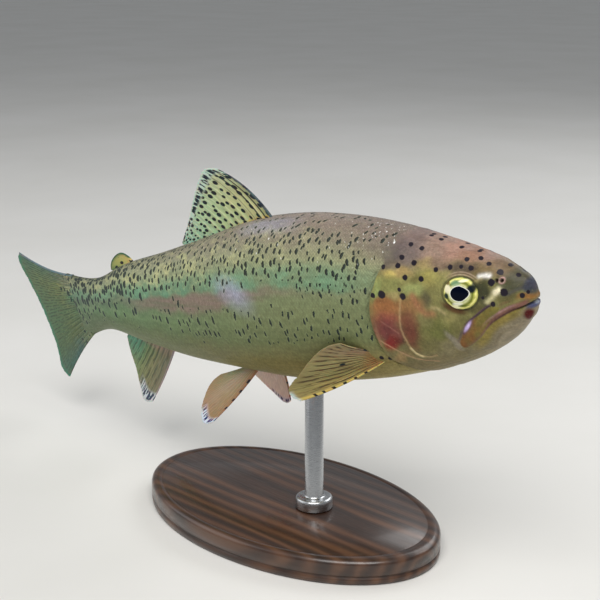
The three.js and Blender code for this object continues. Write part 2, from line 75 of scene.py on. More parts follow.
GILL_OPENING = ((62.5, 19), (63.5, 18.5), (69, 11), (73, 3), (74.5, -6), (74.2, -15), (72, -23),
                (66, -29), (57, -33.5))
MOUTH_LINE = ((-2, -2.3), (1, -2.7), (4, -3.4), (8.2, -4.3), (13.4, -6.4), (17.6, -8.6), (20.5, -10.8),
              (23.1, -13.3), (26.8, -16.1), (31.1, -18.6), (35, -19.8))
MAXILLA_OUTLINE = ((12.6, -1.9), (16.8, -1.5), (21.2, -3.9), (25.6, -6.3), (29.9, -9.3), (33.1, -13.8),
                   (35.3, -17.4), (34.6, -19.6), (31.2, -18.6), (26.9, -16.0), (23.2, -12.9), (20.4, -10.0),
                   (17.2, -6.9), (14.2, -4.4))
EYE_PROUD = 2.0
EYE_TURNED_FORWARD = math.radians(12)
EYE_TURNED_UP = math.radians(9)

FIN_SUNK = 2.5
THINNING = 0.7
BOW_FADE = 2
LOBE_FADE = 4
BOW_FORWARD = 0.7
PAIRED_BOW = (0.6, 0.5, -0.6)
DORSAL = {
    "base": (135.6, 204),
    "margin": ((168, 67.2), (173, 66.6), (179.5, 61.4), (188.5, 51.4), (197.5, 40.4), (207, 30.6)),
    "bow": 4.4,
    "thickness": (2.4, 0.75),
    "rays": 13,
}
ADIPOSE = {
    "base": (252, 270),
    "margin": ((255.5, 25.2), (260.5, 27.6), (267.5, 26.2), (273, 22.6), (275.6, 18.6)),
    "bow": 0.4,
    "thickness": (2.6, 1.1),
    "rays": 0,
}
ANAL = {
    "base": (239, 276),
    "margin": ((283.5, -63), (287.6, -59.6), (286.6, -50.3), (284.6, -41), (284, -30), (282.5, -20.6)),
    "bow": 1.4,
    "thickness": (2.2, 0.75),
    "rays": 12,
}
CAUDAL = {
    "base": (316, 17.4, -19.4),
    "margin": ((371, 37), (371.6, 31), (368.4, 18), (365, 4), (363.6, -9), (364, -25.5), (368.2, -44),
               (366.6, -49.2)),
    "bow": -3.8,
    "last_bow": -1.4,
    "thickness": (3.0, 0.75),
    "rays": 19,
}
PECTORAL = {
    "base": ((74.5, -13.5, -24.4), (79.5, -14.5, -20.6)),
    "margin": ((123.5, -32, -39.8), (125.6, -31, -35.2), (116.5, -28.5, -25.8), (111, -26.5, -20.8),
               (103.5, -25, -16), (93, -23.6, -12.6)),
    "bow": 2.2,
    "lift": 1.5,
    "thickness": (2.2, 0.7),
    "rays": 13,
}
PELVIC_RIGHT = {
    "base": ((170, -8, -35.2), (182, -5, -35.6)),
    "margin": ((197.5, -26, -58.4), (202, -25.5, -57.6), (205, -22, -52), (205.4, -17, -46.4),
               (202.5, -13, -41), (198, -9.5, -37.6)),
    "bow": 1.6,
    "lift": 0,
    "thickness": (2.2, 0.7),
    "rays": 10,
}
PELVIC_LEFT = {
    "base": PELVIC_RIGHT["base"],
    "margin": ((189.5, -23, -68.6), (194.5, -23.5, -68.2), (199.5, -21.5, -61), (202, -17.5, -52),
               (201.5, -13, -44.4), (198, -9.5, -38.6)),
    "bow": 1.6,
    "lift": 0,
    "thickness": (2.2, 0.7),
    "rays": 10,
}

BASE_LENGTH = 172
BASE_WIDTH = 106
BASE_HEIGHT = 12
ROD_RADIUS = 4.5
ROD_FORWARD = 17
COLLAR_RADIUS = 9
COLLAR_HEIGHT = 6

# ---------------------------------------------------------------- looks of the skin and head

SEED = 11
EYE_PLACE = (28.4, 5.1)  # the visible eye is a little smaller and lower than the eye of the CAD
EYE_HALF = (8.2, 7.0, 3.6)
EYE_DEPTH = 8  # points further in than this are not round the eye
FAR_FROM_EYE = 9.0  # the distance given to them, in eyes
MOUTH_END_SLOPE = 0.45  # how fast its line falls past its rear end
MOUTH_GAP = 0.5  # half height of the open mouth at its front
COAT_DEPTH = 0.3  # how far the scaled skin lies inside the solids

# Lines of the head, as (s, z) on either side.
PREOPERCLE = ((55.6, 7), (57.6, 1), (59.1, -4), (59.9, -8), (59.9, -11.5), (59.3, -15), (58.9, -18.3),
              (57.8, -20.8), (55.6, -22.6), (52.5, -23.4), (48.8, -22.6))
SUBOPERCLE = ((72.3, -14), (69.4, -16.2), (66.6, -18.8), (63.2, -21.3), (60, -23.6), (55.7, -25), (50, -26.2))
OPERCLE_CREASE = ((68.6, -4.6), (65, -7.5), (62.2, -10.4))
CHEEK_LINE = ((42.3, 0.3), (39.5, -0.4), (37.1, -2.8))
LACHRYMAL = ((11.8, 5.2), (13.3, 4.4), (15.1, 2.2), (17.3, 0.7), (20.2, -0.4))
NOSTRIL_FRONT = (10.4, 8.5)
NOSTRIL_REAR = (12.4, 8.8)

# Black spots of the head, as (s, level, radius).
HEAD_SPOTS = (
    (51.2, 0.70, 1.1), (45.9, 0.68, 1.1), (54.0, 0.51, 1.2), (48.2, 0.47, 1.2), (55.7, 0.41, 1.2),
    (62.9, 0.38, 1.1), (52.5, 0.30, 1.2), (45.1, 0.30, 1.2), (38.3, 0.43, 1.1), (32.1, 0.49, 1.1),
    (27.4, 0.53, 0.9), (23.2, 0.54, 1.2), (25.6, 0.68, 1.1), (20.3, 0.79, 1.1), (16.4, 0.72, 1.1),
    (30.0, 0.91, 1.1), (22.7, 0.97, 1.0), (40.2, 0.95, 1.1), (45.3, 0.97, 1.0), (9.5, 0.97, 1.0),
    (11.4, 0.61, 1.4), (5.1, 0.78, 1.1), (14.6, 0.35, 1.5), (9.8, 0.19, 1.6), (15.1, 0.01, 1.1),
    (1.6, 0.15, 0.8), (3.5, 0.08, 1.1), (18.7, 0.11, 0.7), (64.9, 0.13, 1.8), (54.8, 0.12, 1.5),
    (55.9, 0.18, 0.9), (69.6, 0.12, 1.2), (76.6, -0.40, 1.1), (72.8, -0.43, 1.0),
)
SPOT_FIELD_END = 3.0  # the spots' distance field stops here, in radii

ROW_LEVEL = 0.165  # level of the row of small spots on the lateral line
SCALE_ROWS = 56  # rows of scales on each side
SCALE_PITCH = 0.92  # spacing along the body, as a share of the spacing between rows
SCALE_PITCH_LEAST = 1.35
SCALE_REACH = (1.05, 0.85)  # half length and half width of a scale, as shares of its spacing
NAPE = ((0.4, 62.5), (1.0, 54.0))  # where the scales start over the back, as (level, s)

# ---------------------------------------------------------------- colours of the head


def tone(red, green, blue):
    """A colour from its usual 0 to 255 values."""
    def linear(value):
        value = value / 255
        return value / 12.92 if value <= 0.04045 else ((value + 0.055) / 1.055) ** 2.4
    return (linear(red), linear(green), linear(blue), 1.0)


HEAD_COLOURS = (  # from throat to crown, by level
    (-1.0, tone(146, 134, 104)), (-0.6, tone(126, 116, 84)), (-0.42, tone(124, 116, 80)),
    (-0.2, tone(116, 112, 66)), (0.1, tone(126, 122, 74)), (0.3, tone(144, 140, 86)),
    (0.45, tone(146, 132, 92)), (0.65, tone(148, 122, 104)), (0.85, tone(152, 126, 114)),
    (1.0, tone(150, 128, 118)),
)
# Patches of the head: centre (s, z), half sizes, tilt in degrees, colour, strength.
HEAD_PATCHES = (
    ((6, 9), (8, 6), 30, tone(66, 68, 48), 0.9),
    ((12, 13), (5, 3), 30, tone(120, 100, 74), 0.7),
    ((19, 13.5), (6, 2.5), 15, tone(122, 104, 62), 0.8),
    ((25, 19), (6, 2.5), 10, tone(150, 112, 90), 0.7),
    ((33, 21.5), (5, 3.5), 10, tone(164, 128, 112), 0.75),
    ((42, 23), (6, 3.5), 10, tone(148, 126, 112), 0.6),
    ((44, 18.5), (4, 2.2), 10, tone(160, 142, 92), 0.6),
    ((52, 24), (7, 7), 0, tone(112, 100, 98), 0.85),
    ((62, 25), (8, 7), 0, tone(84, 76, 80), 0.85),
    ((37, 17.5), (5, 2.4), 10, tone(132, 108, 96), 0.7),
    ((28, 15.2), (8, 2.0), 8, tone(76, 64, 60), 0.8),
    ((18.9, 5.2), (5.0, 7.0), -10, tone(40, 43, 31), 0.9),
    ((24, -1.4), (5, 1.8), 10, tone(70, 64, 36), 0.7),
    ((13.5, 7), (2.4, 2.4), 0, tone(112, 106, 62), 0.4),
    ((7.5, 4.8), (5, 2.4), -10, tone(78, 78, 62), 0.8),
    ((8.5, 1.6), (4.5, 2.0), 0, tone(90, 84, 50), 0.85),
    ((10.5, -0.4), (3, 0.9), -20, tone(112, 90, 60), 0.7),
    ((2.6, 0.3), (2.8, 1.6), -8, tone(146, 104, 56), 0.95),
    ((0.6, 4.6), (2.6, 3.4), 0, tone(58, 64, 82), 0.9),
    ((42, 13), (5.0, 3.6), 0, tone(160, 150, 84), 0.7),
    ((48.4, 13.4), (2.8, 2.6), 0, tone(104, 98, 58), 0.6),
    ((49.5, 8.8), (5, 2.8), 0, tone(148, 158, 98), 0.7),
    ((53.5, 16), (4.5, 2.0), 0, tone(176, 150, 98), 0.75),
    ((59.5, 15.8), (3.8, 2.2), 20, tone(206, 184, 106), 0.75),
    ((61.5, 11.3), (6, 4.2), 0, tone(134, 136, 80), 0.7),
    ((68, 9), (2.0, 5.5), 28, tone(152, 168, 102), 0.6),
    ((44.7, 4), (3.0, 3.6), 0, tone(82, 78, 58), 0.8),
    ((64, 2.2), (8.5, 4.2), -4, tone(164, 106, 64), 0.9),
    ((66.5, 5), (3.4, 1.6), 0, tone(124, 82, 50), 0.6),
    ((59.5, 6.8), (3.6, 1.8), 0, tone(172, 156, 104), 0.6),
    ((52.5, 1.4), (6.5, 4.6), 0, tone(160, 114, 72), 0.75),
    ((65, -3.2), (9, 3.4), 0, tone(148, 80, 62), 0.85),
    ((67, -9), (8.5, 6.5), 0, tone(116, 56, 56), 0.95),
    ((55.8, -10), (4.4, 9.5), 8, tone(110, 58, 46), 0.95),
    ((52.4, -5), (3.4, 4), 0, tone(124, 80, 58), 0.6),
    ((67.2, -15.2), (4.8, 2.9), -28, tone(136, 34, 34), 0.9),
    ((63, -14.2), (2.6, 2.2), -20, tone(84, 40, 32), 0.6),
    ((73.6, -13), (1.0, 7), 10, tone(164, 116, 92), 0.5),
    ((42, -9.5), (6.5, 5.5), 0, tone(100, 106, 52), 0.6),
    ((46.5, -5.5), (3, 3), 0, tone(126, 122, 80), 0.5),
    ((35, -4.4), (5, 2.6), -30, tone(152, 144, 90), 0.6),
    ((37.4, -15.6), (1.8, 5.0), -20, tone(150, 142, 136), 0.5),
    ((42, -19.5), (6, 3.4), -20, tone(136, 128, 98), 0.45),
    ((66, -22.5), (6, 2.6), -20, tone(160, 128, 88), 0.6),
    ((50, -18.5), (6, 3.5), 0, tone(118, 112, 66), 0.5),
)
# Lines of the head: points (s, z), half width, colour, strength.
HEAD_LINES = (
    (((50.2, 6), (48.4, 0.6), (46, -2.2), (42.8, -2.4)), 1.7, tone(168, 112, 82), 0.6),
    (PREOPERCLE, 0.42, tone(206, 176, 128), 0.5),
    # the brighter stretch of the preopercle line is a painted highlight
    (PREOPERCLE[6:9], 0.6, tone(250, 232, 176), 0.55),
    (SUBOPERCLE, 0.36, tone(206, 164, 128), 0.5),
    (OPERCLE_CREASE, 0.34, tone(178, 122, 104), 0.45),
    (CHEEK_LINE, 0.8, tone(184, 168, 120), 0.6),
    (((8.5, 3), (5, 4), (1.5, 4.6)), 0.8, tone(70, 70, 80), 0.5),
    (LACHRYMAL[:4], 1.1, tone(206, 198, 150), 0.85),
    (LACHRYMAL[:2], 1.1, tone(250, 240, 206), 0.85),
    # a painted highlight between the nostrils and the eye
    (((19.4, 11.2), (17, 11.3), (15.4, 11.0)), 0.9, tone(255, 252, 246), 0.95),
    (((21.5, 9.5), (18.5, 10.4)), 0.8, tone(176, 160, 104), 0.5),
)
JAW = tone(148, 136, 114)
# painted shade in the creases of the lower jaw
JAW_CREASE_SHADE = tone(104, 92, 68)
JAW_LIGHT = tone(172, 160, 142)
JAW_STREAKS = (  # distance below the mouth, waviness, length of a wave, half width, colour, strength
    (7.4, 0.2, 26, 0.9, JAW_LIGHT, 0.22), (11.4, 0.2, 26, 0.9, JAW_LIGHT, 0.22),
    # the dark streaks are painted shade in the jaw's creases
    (6.0, 0.25, 30, 0.5, JAW_CREASE_SHADE, 0.4), (9.5, 0.25, 30, 0.5, JAW_CREASE_SHADE, 0.4),
)
JAW_STRIP = tone(136, 120, 54)
LIP_ROSE = tone(120, 80, 72)
LIP_MAROON = tone(70, 36, 38)
# painted highlight along the top of the rose upper lip
LIP_HIGHLIGHT = tone(178, 140, 140)
LIP_BLUE = tone(62, 72, 118)
LIP_PALE = tone(196, 208, 214)
MAXILLA_FRONT = tone(120, 112, 52)
MAXILLA_REAR = tone(126, 82, 40)
PLUM_LINE = ((16.8, -0.7), (21.5, -3.2), (26.5, -6.6), (31.6, -12.4))
SUPRAMAXILLA = (28.6, -9.2)
SUPRAMAXILLA_TILT = -46
# painted lilac highlight on the plum supramaxilla
LILAC_HIGHLIGHT = tone(204, 184, 232)
PLUM = tone(92, 62, 84)
SORE = tone(80, 0, 0)
MOUTH_SHADOW = tone(40, 26, 24)
# painted shade round the rim of the eye's socket
ORBIT_SHADE = tone(52, 54, 34)
CRESCENT = tone(80, 48, 24)
BROW_PALE = tone(206, 180, 158)
BROW_DARK = tone(88, 66, 58)
NOSTRIL_PINK = tone(204, 164, 158)
PECTORAL_ROOT = (77, -23)

# ---------------------------------------------------------------- curves


def fade(value, start, end):
    """0 at start, 1 at end and smooth between them."""
    t = np.clip((value - start) / (end - start), 0, 1)
    return t * t * (3 - 2 * t)


def fade_out(value, start, end):
    """1 at start, 0 at end and smooth between them."""
    return 1 - fade(value, start, end)


def hump(value, width):
    """1 where value is 0, dying away over width."""
    return np.exp(-((value / width) ** 2))


def smooth_curve(knots):
    """A smooth function through (x, value) knots: cubic Hermite pieces, slopes from the neighbours."""
    x, value = np.array(knots, float).T
    gap = np.diff(x)
    rise = np.diff(value) / gap
    slope = np.zeros(len(x))
    slope[1:-1] = (rise[:-1] * gap[1:] + rise[1:] * gap[:-1]) / (gap[:-1] + gap[1:])
    slope[0] = 1.5 * rise[0] - 0.5 * slope[1]
    slope[-1] = 1.5 * rise[-1] - 0.5 * slope[-2]

    def at(where):
        i = np.clip(np.searchsorted(x, where) - 1, 0, len(x) - 2)
        t = (where - x[i]) / gap[i]
        h = t * t * (3 - 2 * t)
        start = slope[i] * gap[i] * t * (1 - t) ** 2
        end = slope[i + 1] * gap[i] * t * t * (t - 1)
        return value[i] * (1 - h) + value[i + 1] * h + start + end

    return at


def smooth_path(points):
    """A smooth path through points, run from 0 to 1 by the length of its chords."""
    points = np.array(points, float)
    run = np.concatenate([[0], np.cumsum(np.linalg.norm(np.diff(points, axis=0), axis=1))])
    curves = [smooth_curve(list(zip(run / run[-1], axis))) for axis in points.T]
    return lambda t: np.stack([curve(t) for curve in curves], -1)


def distance_to_line(s, z, line):
    """Distance of each (s, z) from a line of points."""
    nearest = np.full(np.shape(s), 1e9)
    for (s0, z0), (s1, z1) in zip(line, line[1:]):
        ds, dz = s1 - s0, z1 - z0
        t = np.clip(((s - s0) * ds + (z - z0) * dz) / (ds * ds + dz * dz), 0, 1)
        nearest = np.minimum(nearest, np.hypot(s - s0 - t * ds, z - z0 - t * dz))
    return nearest


def distance_inside(s, z, outline):
    """Distance of each (s, z) from a closed outline, positive inside it."""
    closed = [*outline, outline[0]]
    inside = np.zeros(np.shape(s), bool)
    for (s0, z0), (s1, z1) in zip(closed, closed[1:]):
        crosses = (z0 > z) != (z1 > z)
        with np.errstate(divide="ignore", invalid="ignore"):
            inside ^= crosses & (s < s0 + (s1 - s0) * (z - z0) / (z1 - z0))
    return np.where(inside, 1, -1) * distance_to_line(s, z, closed)


def blob(s, z, centre, half, tilt=0.0):
    """Scaled distance from the centre of an ellipse, 1 at its rim."""
    c, n = math.cos(math.radians(tilt)), math.sin(math.radians(tilt))
    ds, dz = s - centre[0], z - centre[1]
    return np.hypot((ds * c + dz * n) / half[0], (dz * c - ds * n) / half[1])


def clouds(s, g, size, seed):
    """Smooth random patches from about -1 to 1, size millimetres across."""
    rng = np.random.default_rng(seed)
    total = np.zeros(np.shape(s))
    for turn in rng.uniform(0, 2 * math.pi, 7):
        reach = 2 * math.pi / size * rng.uniform(0.5, 1.3)
        total += np.sin((s * math.cos(turn) + g * math.sin(turn)) * reach + rng.uniform(0, 6.3))
    return total / 2.6


# ---------------------------------------------------------------- body surface


def nearness(s):
    """A station as the body's curves take it, which crowds their knots at the snout."""
    return np.sqrt(np.maximum(s, 0) / STANDARD_LENGTH)


back_height, belly_depth, half_width = (
    smooth_curve([(nearness(row[0]), row[column]) for row in BODY_STATIONS]) for column in (1, 2, 3))
TAIL_END = BODY_STATIONS[-1][0]


def section(s):
    """Height of the back, of the belly and of the widest level, and half the width there."""
    u = nearness(s)
    back, belly = back_height(u), belly_depth(u)
    widest = (back + belly) / 2 + WIDEST_LEVEL * (back - belly) / 2
    return back, belly, widest, half_width(u)


def fuller(value):
    """Makes the section a little fuller than an ellipse."""
    return np.sign(value) * np.abs(value) ** SECTION_FULLNESS


def body_point(s, level, side):
    """Points of the straight body's surface."""
    back, belly, widest, width = section(s)
    across = fuller(np.cos(level * math.pi / 2))
    up = fuller(np.sin(level * math.pi / 2))
    reach = np.where(up > 0, back - widest, widest - belly)
    return np.stack([-s + 0 * up, side * width * across, widest + reach * up], -1)


def level_of(s, z):
    """The level at which the body's surface has height z."""
    back, belly, widest, _ = section(s)
    reach = np.where(z > widest, back - widest, widest - belly)
    up = np.minimum(np.abs(z - widest) / reach, 1) ** (1 / SECTION_FULLNESS)
    return np.sign(z - widest) * np.arcsin(up) * 2 / math.pi


def width_at(s, z):
    """Half the body's width at a height."""
    level = level_of(s, z)
    return section(s)[3] * np.cos(level * math.pi / 2) ** SECTION_FULLNESS


def unit(vectors):
    return vectors / np.maximum(np.linalg.norm(vectors, axis=-1, keepdims=True), 1e-9)


def body_frame(s, level, side):
    """Points with unit directions towards the tail, up round the side, and outwards."""
    step_s, step_level = 0.05, 0.004
    ahead = np.maximum(s - step_s, 0.002)
    along = unit(body_point(s + step_s, level, side) - body_point(ahead, level, side))
    around = unit(body_point(s, level + step_level, side) - body_point(s, level - step_level, side))
    outward = unit(np.cross(along, around) * np.asarray(side)[..., None])
    return body_point(s, level, side), along, around, outward


def half_girth(s):
    """Length of the section's outline from belly to back."""
    back, belly, _, width = section(s)
    return math.pi * np.sqrt((((back - belly) / 2) ** 2 + width ** 2) / 2)


TURN = np.array(Euler((LEFT_SIDE_UP, -NOSE_UP, HEADING), "XYZ").to_matrix())


def bend(points):
    """Swings the straight fish's tail to its left and down, more towards its end."""
    share = -points[..., 0] / STANDARD_LENGTH
    sideways = 3 * TAIL_SWING * share ** 2 / STANDARD_LENGTH
    downwards = 3 * TAIL_DROP * share ** 2 / STANDARD_LENGTH
    across = points[..., 1] / np.hypot(1, sideways)
    up = points[..., 2] / np.hypot(1, downwards)
    x = points[..., 0] + across * sideways - up * downwards
    return np.stack([x, across + TAIL_SWING * share ** 3, up - TAIL_DROP * share ** 3], -1)


FISH_ORIGIN = np.array([0, 0, AXIS_HEIGHT]) - TURN @ bend(np.array([-BALANCE_STATION, 0.0, 0.0]))


def place(points):
    """Points of the straight fish in the row's frame, in metres."""
    return (bend(points) @ TURN.T + FISH_ORIGIN) * MM


# ---------------------------------------------------------------- meshes


def new_piece(name, points, faces, material, attributes=None, uv=None):
    """A smooth mesh object from points in metres and a list of face arrays."""
    mesh = bpy.data.meshes.new(name)
    loops = np.concatenate([part.ravel() for part in faces]).astype(np.int32)
    sizes = np.concatenate([np.full(len(part), part.shape[1]) for part in faces])
    mesh.vertices.add(len(points))
    mesh.vertices.foreach_set("co", np.asarray(points, np.float32).ravel())
    mesh.loops.add(len(loops))
    mesh.loops.foreach_set("vertex_index", loops)
    mesh.polygons.add(len(sizes))
    mesh.polygons.foreach_set("loop_start", (np.cumsum(sizes) - sizes).astype(np.int32))
    mesh.polygons.foreach_set("use_smooth", np.ones(len(sizes), bool))
    mesh.update(calc_edges=True)
    for key, values in (attributes or {}).items():
        values = np.asarray(values, np.float32)
        kind, field = ("FLOAT_VECTOR", "vector") if values.ndim == 2 else ("FLOAT", "value")
        mesh.attributes.new(key, kind, "POINT").data.foreach_set(field, values.ravel())
    if uv is not None:
        layer = mesh.uv_layers.new(name="OFBake")
        layer.data.foreach_set("uv", np.asarray(uv, np.float32)[loops].ravel())
    mesh.validate()
    mesh.materials.append(material)
    piece = bpy.data.objects.new(name, mesh)
    bpy.context.scene.collection.objects.link(piece)
    return piece


def grid_faces(rows, columns, wrapped=False, flipped=False):
    """Quads of a grid of points numbered row by row."""
    r = np.arange(rows - 1)[:, None]
    c = np.arange(columns if wrapped else columns - 1)[None, :]
    after = (c + 1) % columns
    quads = np.stack([r * columns + c, r * columns + after, (r + 1) * columns + after,
                      (r + 1) * columns + c], -1).reshape(-1, 4)
    return quads[:, ::-1] if flipped else quads


def cap_faces(hub, ring, flipped=False):
    """Triangles from a point to each side of a ring of points."""
    fan = np.stack([np.full(len(ring), hub), ring, np.roll(ring, -1)], -1)
    return fan[:, ::-1] if flipped else fan


# ---------------------------------------------------------------- skin of the whole body

SIDE_COLUMNS = (64, 140)  # columns of the skin on each side, below and above the line of the mouth
COLUMN_CROWDING = 1.3  # above 1, columns crowd towards the line of the mouth
RING_STEPS = (  # up to each station, the step between rings
    (6, 0.16), (46, 0.42), (70, 0.5), (73.6, 0.3), (76, 0.14), (80, 0.4), (96, 1.0), (TAIL_END, 1.7),
)
SNOUT_RINGS = (0.01, 0.03, 0.07, 0.12)
EDGE_STATION = 74.5  # nominal station of the ring that follows the gill opening
EDGE_REACH = (34, 108)  # stations between which rings lean to follow it
SHOULDER_BULGE = 0.7  # how far the shoulder of the pectoral fin bulges

gill_path = smooth_path(GILL_OPENING)(np.linspace(0, 1, 80))
gill_levels = level_of(gill_path[:, 0], gill_path[:, 1])
gill_order = np.argsort(gill_levels)


def gill_edge(level):
    """Station of the gill cover's rear edge at a level."""
    return np.interp(level, gill_levels[gill_order], gill_path[gill_order, 0])


mouth_curve = smooth_curve(MOUTH_LINE)


def mouth_height(s):
    """Height of the line of the mouth; it runs straight on past its ends."""
    ends = MOUTH_LINE[0][0], MOUTH_LINE[-1][0]
    return mouth_curve(np.clip(s, *ends)) - MOUTH_END_SLOPE * np.maximum(s - ends[1], 0)


def ring_stations():
    """Nominal stations of the skin's rings, close together at the snout and the gill opening."""
    stations = [*SNOUT_RINGS]
    for end, step in RING_STEPS:
        while stations[-1] < end - step / 2:
            stations.append(stations[-1] + min(step, 0.05 + 0.16 * stations[-1]))
    return np.array([*stations[:-1], TAIL_END])


def skin_grid():
    """Stations, levels and sides of the skin's grid, whose lines follow the mouth and the gill opening."""
    nominal = ring_stations()
    mouth_s = np.clip(nominal, 1.2, MOUTH_LINE[-1][0])
    mouth = level_of(mouth_s, mouth_height(mouth_s))
    below = 1 - (1 - np.arange(SIDE_COLUMNS[0]) / SIDE_COLUMNS[0]) ** COLUMN_CROWDING
    above = (np.arange(SIDE_COLUMNS[1]) / SIDE_COLUMNS[1]) ** COLUMN_CROWDING
    low = -1 + (mouth[:, None] + 1) * below
    high = mouth[:, None] + (1 - mouth[:, None]) * above
    right = np.concatenate([low, high], axis=1)
    back = np.ones((len(nominal), 1))
    left = np.concatenate([back, right[:, :0:-1]], axis=1)
    level = np.concatenate([right, left], axis=1)
    side = np.concatenate([-np.ones_like(right), np.ones_like(left)], axis=1)
    lean = fade(nominal, EDGE_REACH[0], EDGE_STATION) * fade_out(nominal, EDGE_STATION, EDGE_REACH[1])
    s = nominal[:, None] + (gill_edge(level) - EDGE_STATION) * lean[:, None]
    return s, level, side


def eye_axes(side):
    """Centre of an eye and its forward, outward and upward directions, in straight fish coordinates."""
    s, z = EYE_PLACE
    turn = np.array(Euler((side * EYE_TURNED_UP, 0, -side * EYE_TURNED_FORWARD), "XYZ").to_matrix())
    centre = np.array([-s, side * (width_at(s, z) + EYE_PROUD - EYE_HALF[2]), z])
    return centre, turn[:, 0], side * turn[:, 1], turn[:, 2]


def eye_distance(points, side):
    """Distance of each point from its eye's axis, as a share of the eye's half size."""
    result = np.full(points.shape[:-1], FAR_FROM_EYE)
    for which in (-1, 1):
        centre, forward, outward, upward = eye_axes(which)
        offset = points - centre
        across = (offset @ forward) / EYE_HALF[0]
        up = (offset @ upward) / EYE_HALF[1]
        near = (side == which) & (offset @ outward > -EYE_DEPTH)
        result = np.where(near, np.hypot(across, up), result)
    return result


def mouth_relief(s, z, width):
    """Slit of the mouth and its lips; also the distance above its line and how far it is open."""
    slope = mouth_height(s + 0.5) - mouth_height(s - 0.5)
    above = (z - mouth_height(s)) / np.hypot(1, slope)
    run = np.clip(s / MOUTH_LINE[-1][0], 0, 1.2)
    open_here = fade_out(run, 0.93, 1.0)
    front = np.clip(1 - 4 * run, 0, 1)
    gap = MOUTH_GAP * front
    depth = np.minimum(0.1 + 1.3 * front, 0.4 * width) * (1 - 0.8 * fade(run, 0.3, 0.7))
    slit = fade_out(np.abs(above), gap, gap + 0.3) * open_here
    upper_lip = hump(above - gap - 1.3, 1.0) * open_here
    lower_lip = hump(above + gap + 1.1, 0.85) * open_here
    under_crease = hump(above + gap + 2.6, 0.5) * open_here
    lips = (0.28 * upper_lip + 0.2 * lower_lip - 0.1 * under_crease) * (1 - 0.6 * fade(s, 12, 24))
    return lips - depth * slit, above, open_here


def gill_relief(s, level):
    """Raised gill cover, its edge, the slit behind it and the sunk scaled skin; also the distance behind."""
    behind = s - gill_edge(level)
    flank = fade_out(level, 0.3, 0.42)
    cover = 0.3 * fade(behind, -14, -3) * fade_out(behind, -0.5, 0.0) * flank
    fringe = -0.1 * hump(behind + 1.8, 0.4) * flank
    slit = -0.7 * fade(behind, -0.15, 0.1) * fade_out(behind, 0.4, 3.2) * flank
    nape = np.interp(level, *np.array(NAPE).T)
    beside = fade(behind, 0.2, 2.0)
    over = fade(s - nape, -3.0, 2.0)
    scaled = beside + (over - beside) * fade(level, 0.34, 0.42)
    return cover + fringe + slit - COAT_DEPTH * scaled, behind


def head_share(s, level):
    """1 on the head and 0 on the trunk: a sharp change at the gill cover and a slow one over the nape."""
    behind = s - gill_edge(level)
    nape = np.interp(level, *np.array(NAPE).T)
    beside = fade_out(behind, -0.4, 0.3)
    over = fade_out(s - nape, -14, 16)
    return beside + (over - beside) * fade(level, 0.3, 0.5)


def head_relief(s, z, y, level, eye, plate):
    """Plates, seams and folds of the head."""
    over = fade(z - mouth_height(s), 3.0, 6.0)
    relief = 0.4 * fade(plate, -0.3, 2.0) - 0.3 * hump(plate + 0.25, 0.35) * fade(s, 13, 17) * over
    preopercle = distance_to_line(s, z, PREOPERCLE)
    relief += 0.1 * hump(preopercle - 1.2, 0.8) - 0.16 * hump(preopercle, 0.4)
    relief -= 0.13 * hump(distance_to_line(s, z, SUBOPERCLE), 0.4)
    relief -= 0.08 * hump(distance_to_line(s, z, OPERCLE_CREASE), 0.35)
    relief += 0.14 * hump(distance_to_line(s, z, CHEEK_LINE), 0.8)
    relief += 0.1 * hump(distance_to_line(s, z, LACHRYMAL), 0.9)
    relief -= 1.1 * fade_out(eye, 0.89, 0.98)
    lid = fade(z, 8, 11) * fade_out(s, 30, 35)
    relief += (0.12 * hump(eye - 1.08, 0.05) - 0.08 * hump(eye - 1.17, 0.04)) * lid
    front = blob(s, z, NOSTRIL_FRONT, (1, 1))
    rear = blob(s, z, NOSTRIL_REAR, (1, 1))
    relief += 0.36 * hump(front - 1.05, 0.35) - 1.2 * fade_out(front, 0.35, 0.8)
    relief -= 0.9 * fade_out(rear, 0.3, 0.8) * fade(front, 1.1, 1.5)
    throat = fade_out(level, -0.72, -0.55) * fade(s, 22, 30) * fade_out(s, 54, 62)
    relief -= 0.14 * throat * (0.5 + 0.5 * np.cos(level * 2 * math.pi * 13)) ** 3
    relief -= 0.4 * hump(y, 0.7) * (level < 0) * fade(s, 8, 16) * fade_out(s, 50, 58)
    relief += 0.05 * clouds(s, z, 5, 3)
    return relief


def spot_field(s, level, side):
    """Distance to the nearest black spot of the head, in that spot's radii."""
    field = np.full(np.shape(s), SPOT_FIELD_END)
    here = body_point(s, level, side)
    wobble = 1 + 0.06 * clouds(s, level * 40, 2.2, 5)
    for which in (-1.0, 1.0):
        for spot_s, spot_level, radius in HEAD_SPOTS:
            centre = body_point(np.array(spot_s), np.array(spot_level), which)
            distance = np.linalg.norm((here - centre) * (0.97, 1.06, 0.97), axis=-1) / radius * wobble
            field = np.minimum(field, distance)
    return field


def lay(paint, mask, colour, strength=1.0):
    """Lays a colour over the paint where the mask is above 0."""
    share = np.clip(mask, 0, 1) * strength
    paint += (np.array(colour[:3]) - paint) * share[..., None]


def patch(s, z, centre, half, tilt=0.0):
    """1 at the centre of an ellipse, with a soft edge at its rim."""
    return hump(blob(s, z, centre, half, tilt) ** 2, 1.0)


def head_paint(s, level, side):
    """Colours of the head before its spots."""
    z = body_point(s, level, side)[..., 2]
    g = level * half_girth(s) / 2
    ragged_s = s + 0.6 * clouds(s, g, 9, 21)
    ragged_z = z + 0.6 * clouds(s, g, 7, 22)
    places, colours = zip(*HEAD_COLOURS)
    at = level + 0.05 * clouds(s, g, 16, 23)
    channels = np.array(colours).T[:3]
    paint = np.stack([np.interp(at, places, channel) for channel in channels], -1)
    for centre, half, tilt, colour, strength in HEAD_PATCHES:
        lay(paint, patch(ragged_s, ragged_z, centre, half, tilt), colour, strength)
    for line, reach, colour, strength in HEAD_LINES:
        lay(paint, hump(distance_to_line(s, z, line), reach), colour, strength)
    return paint


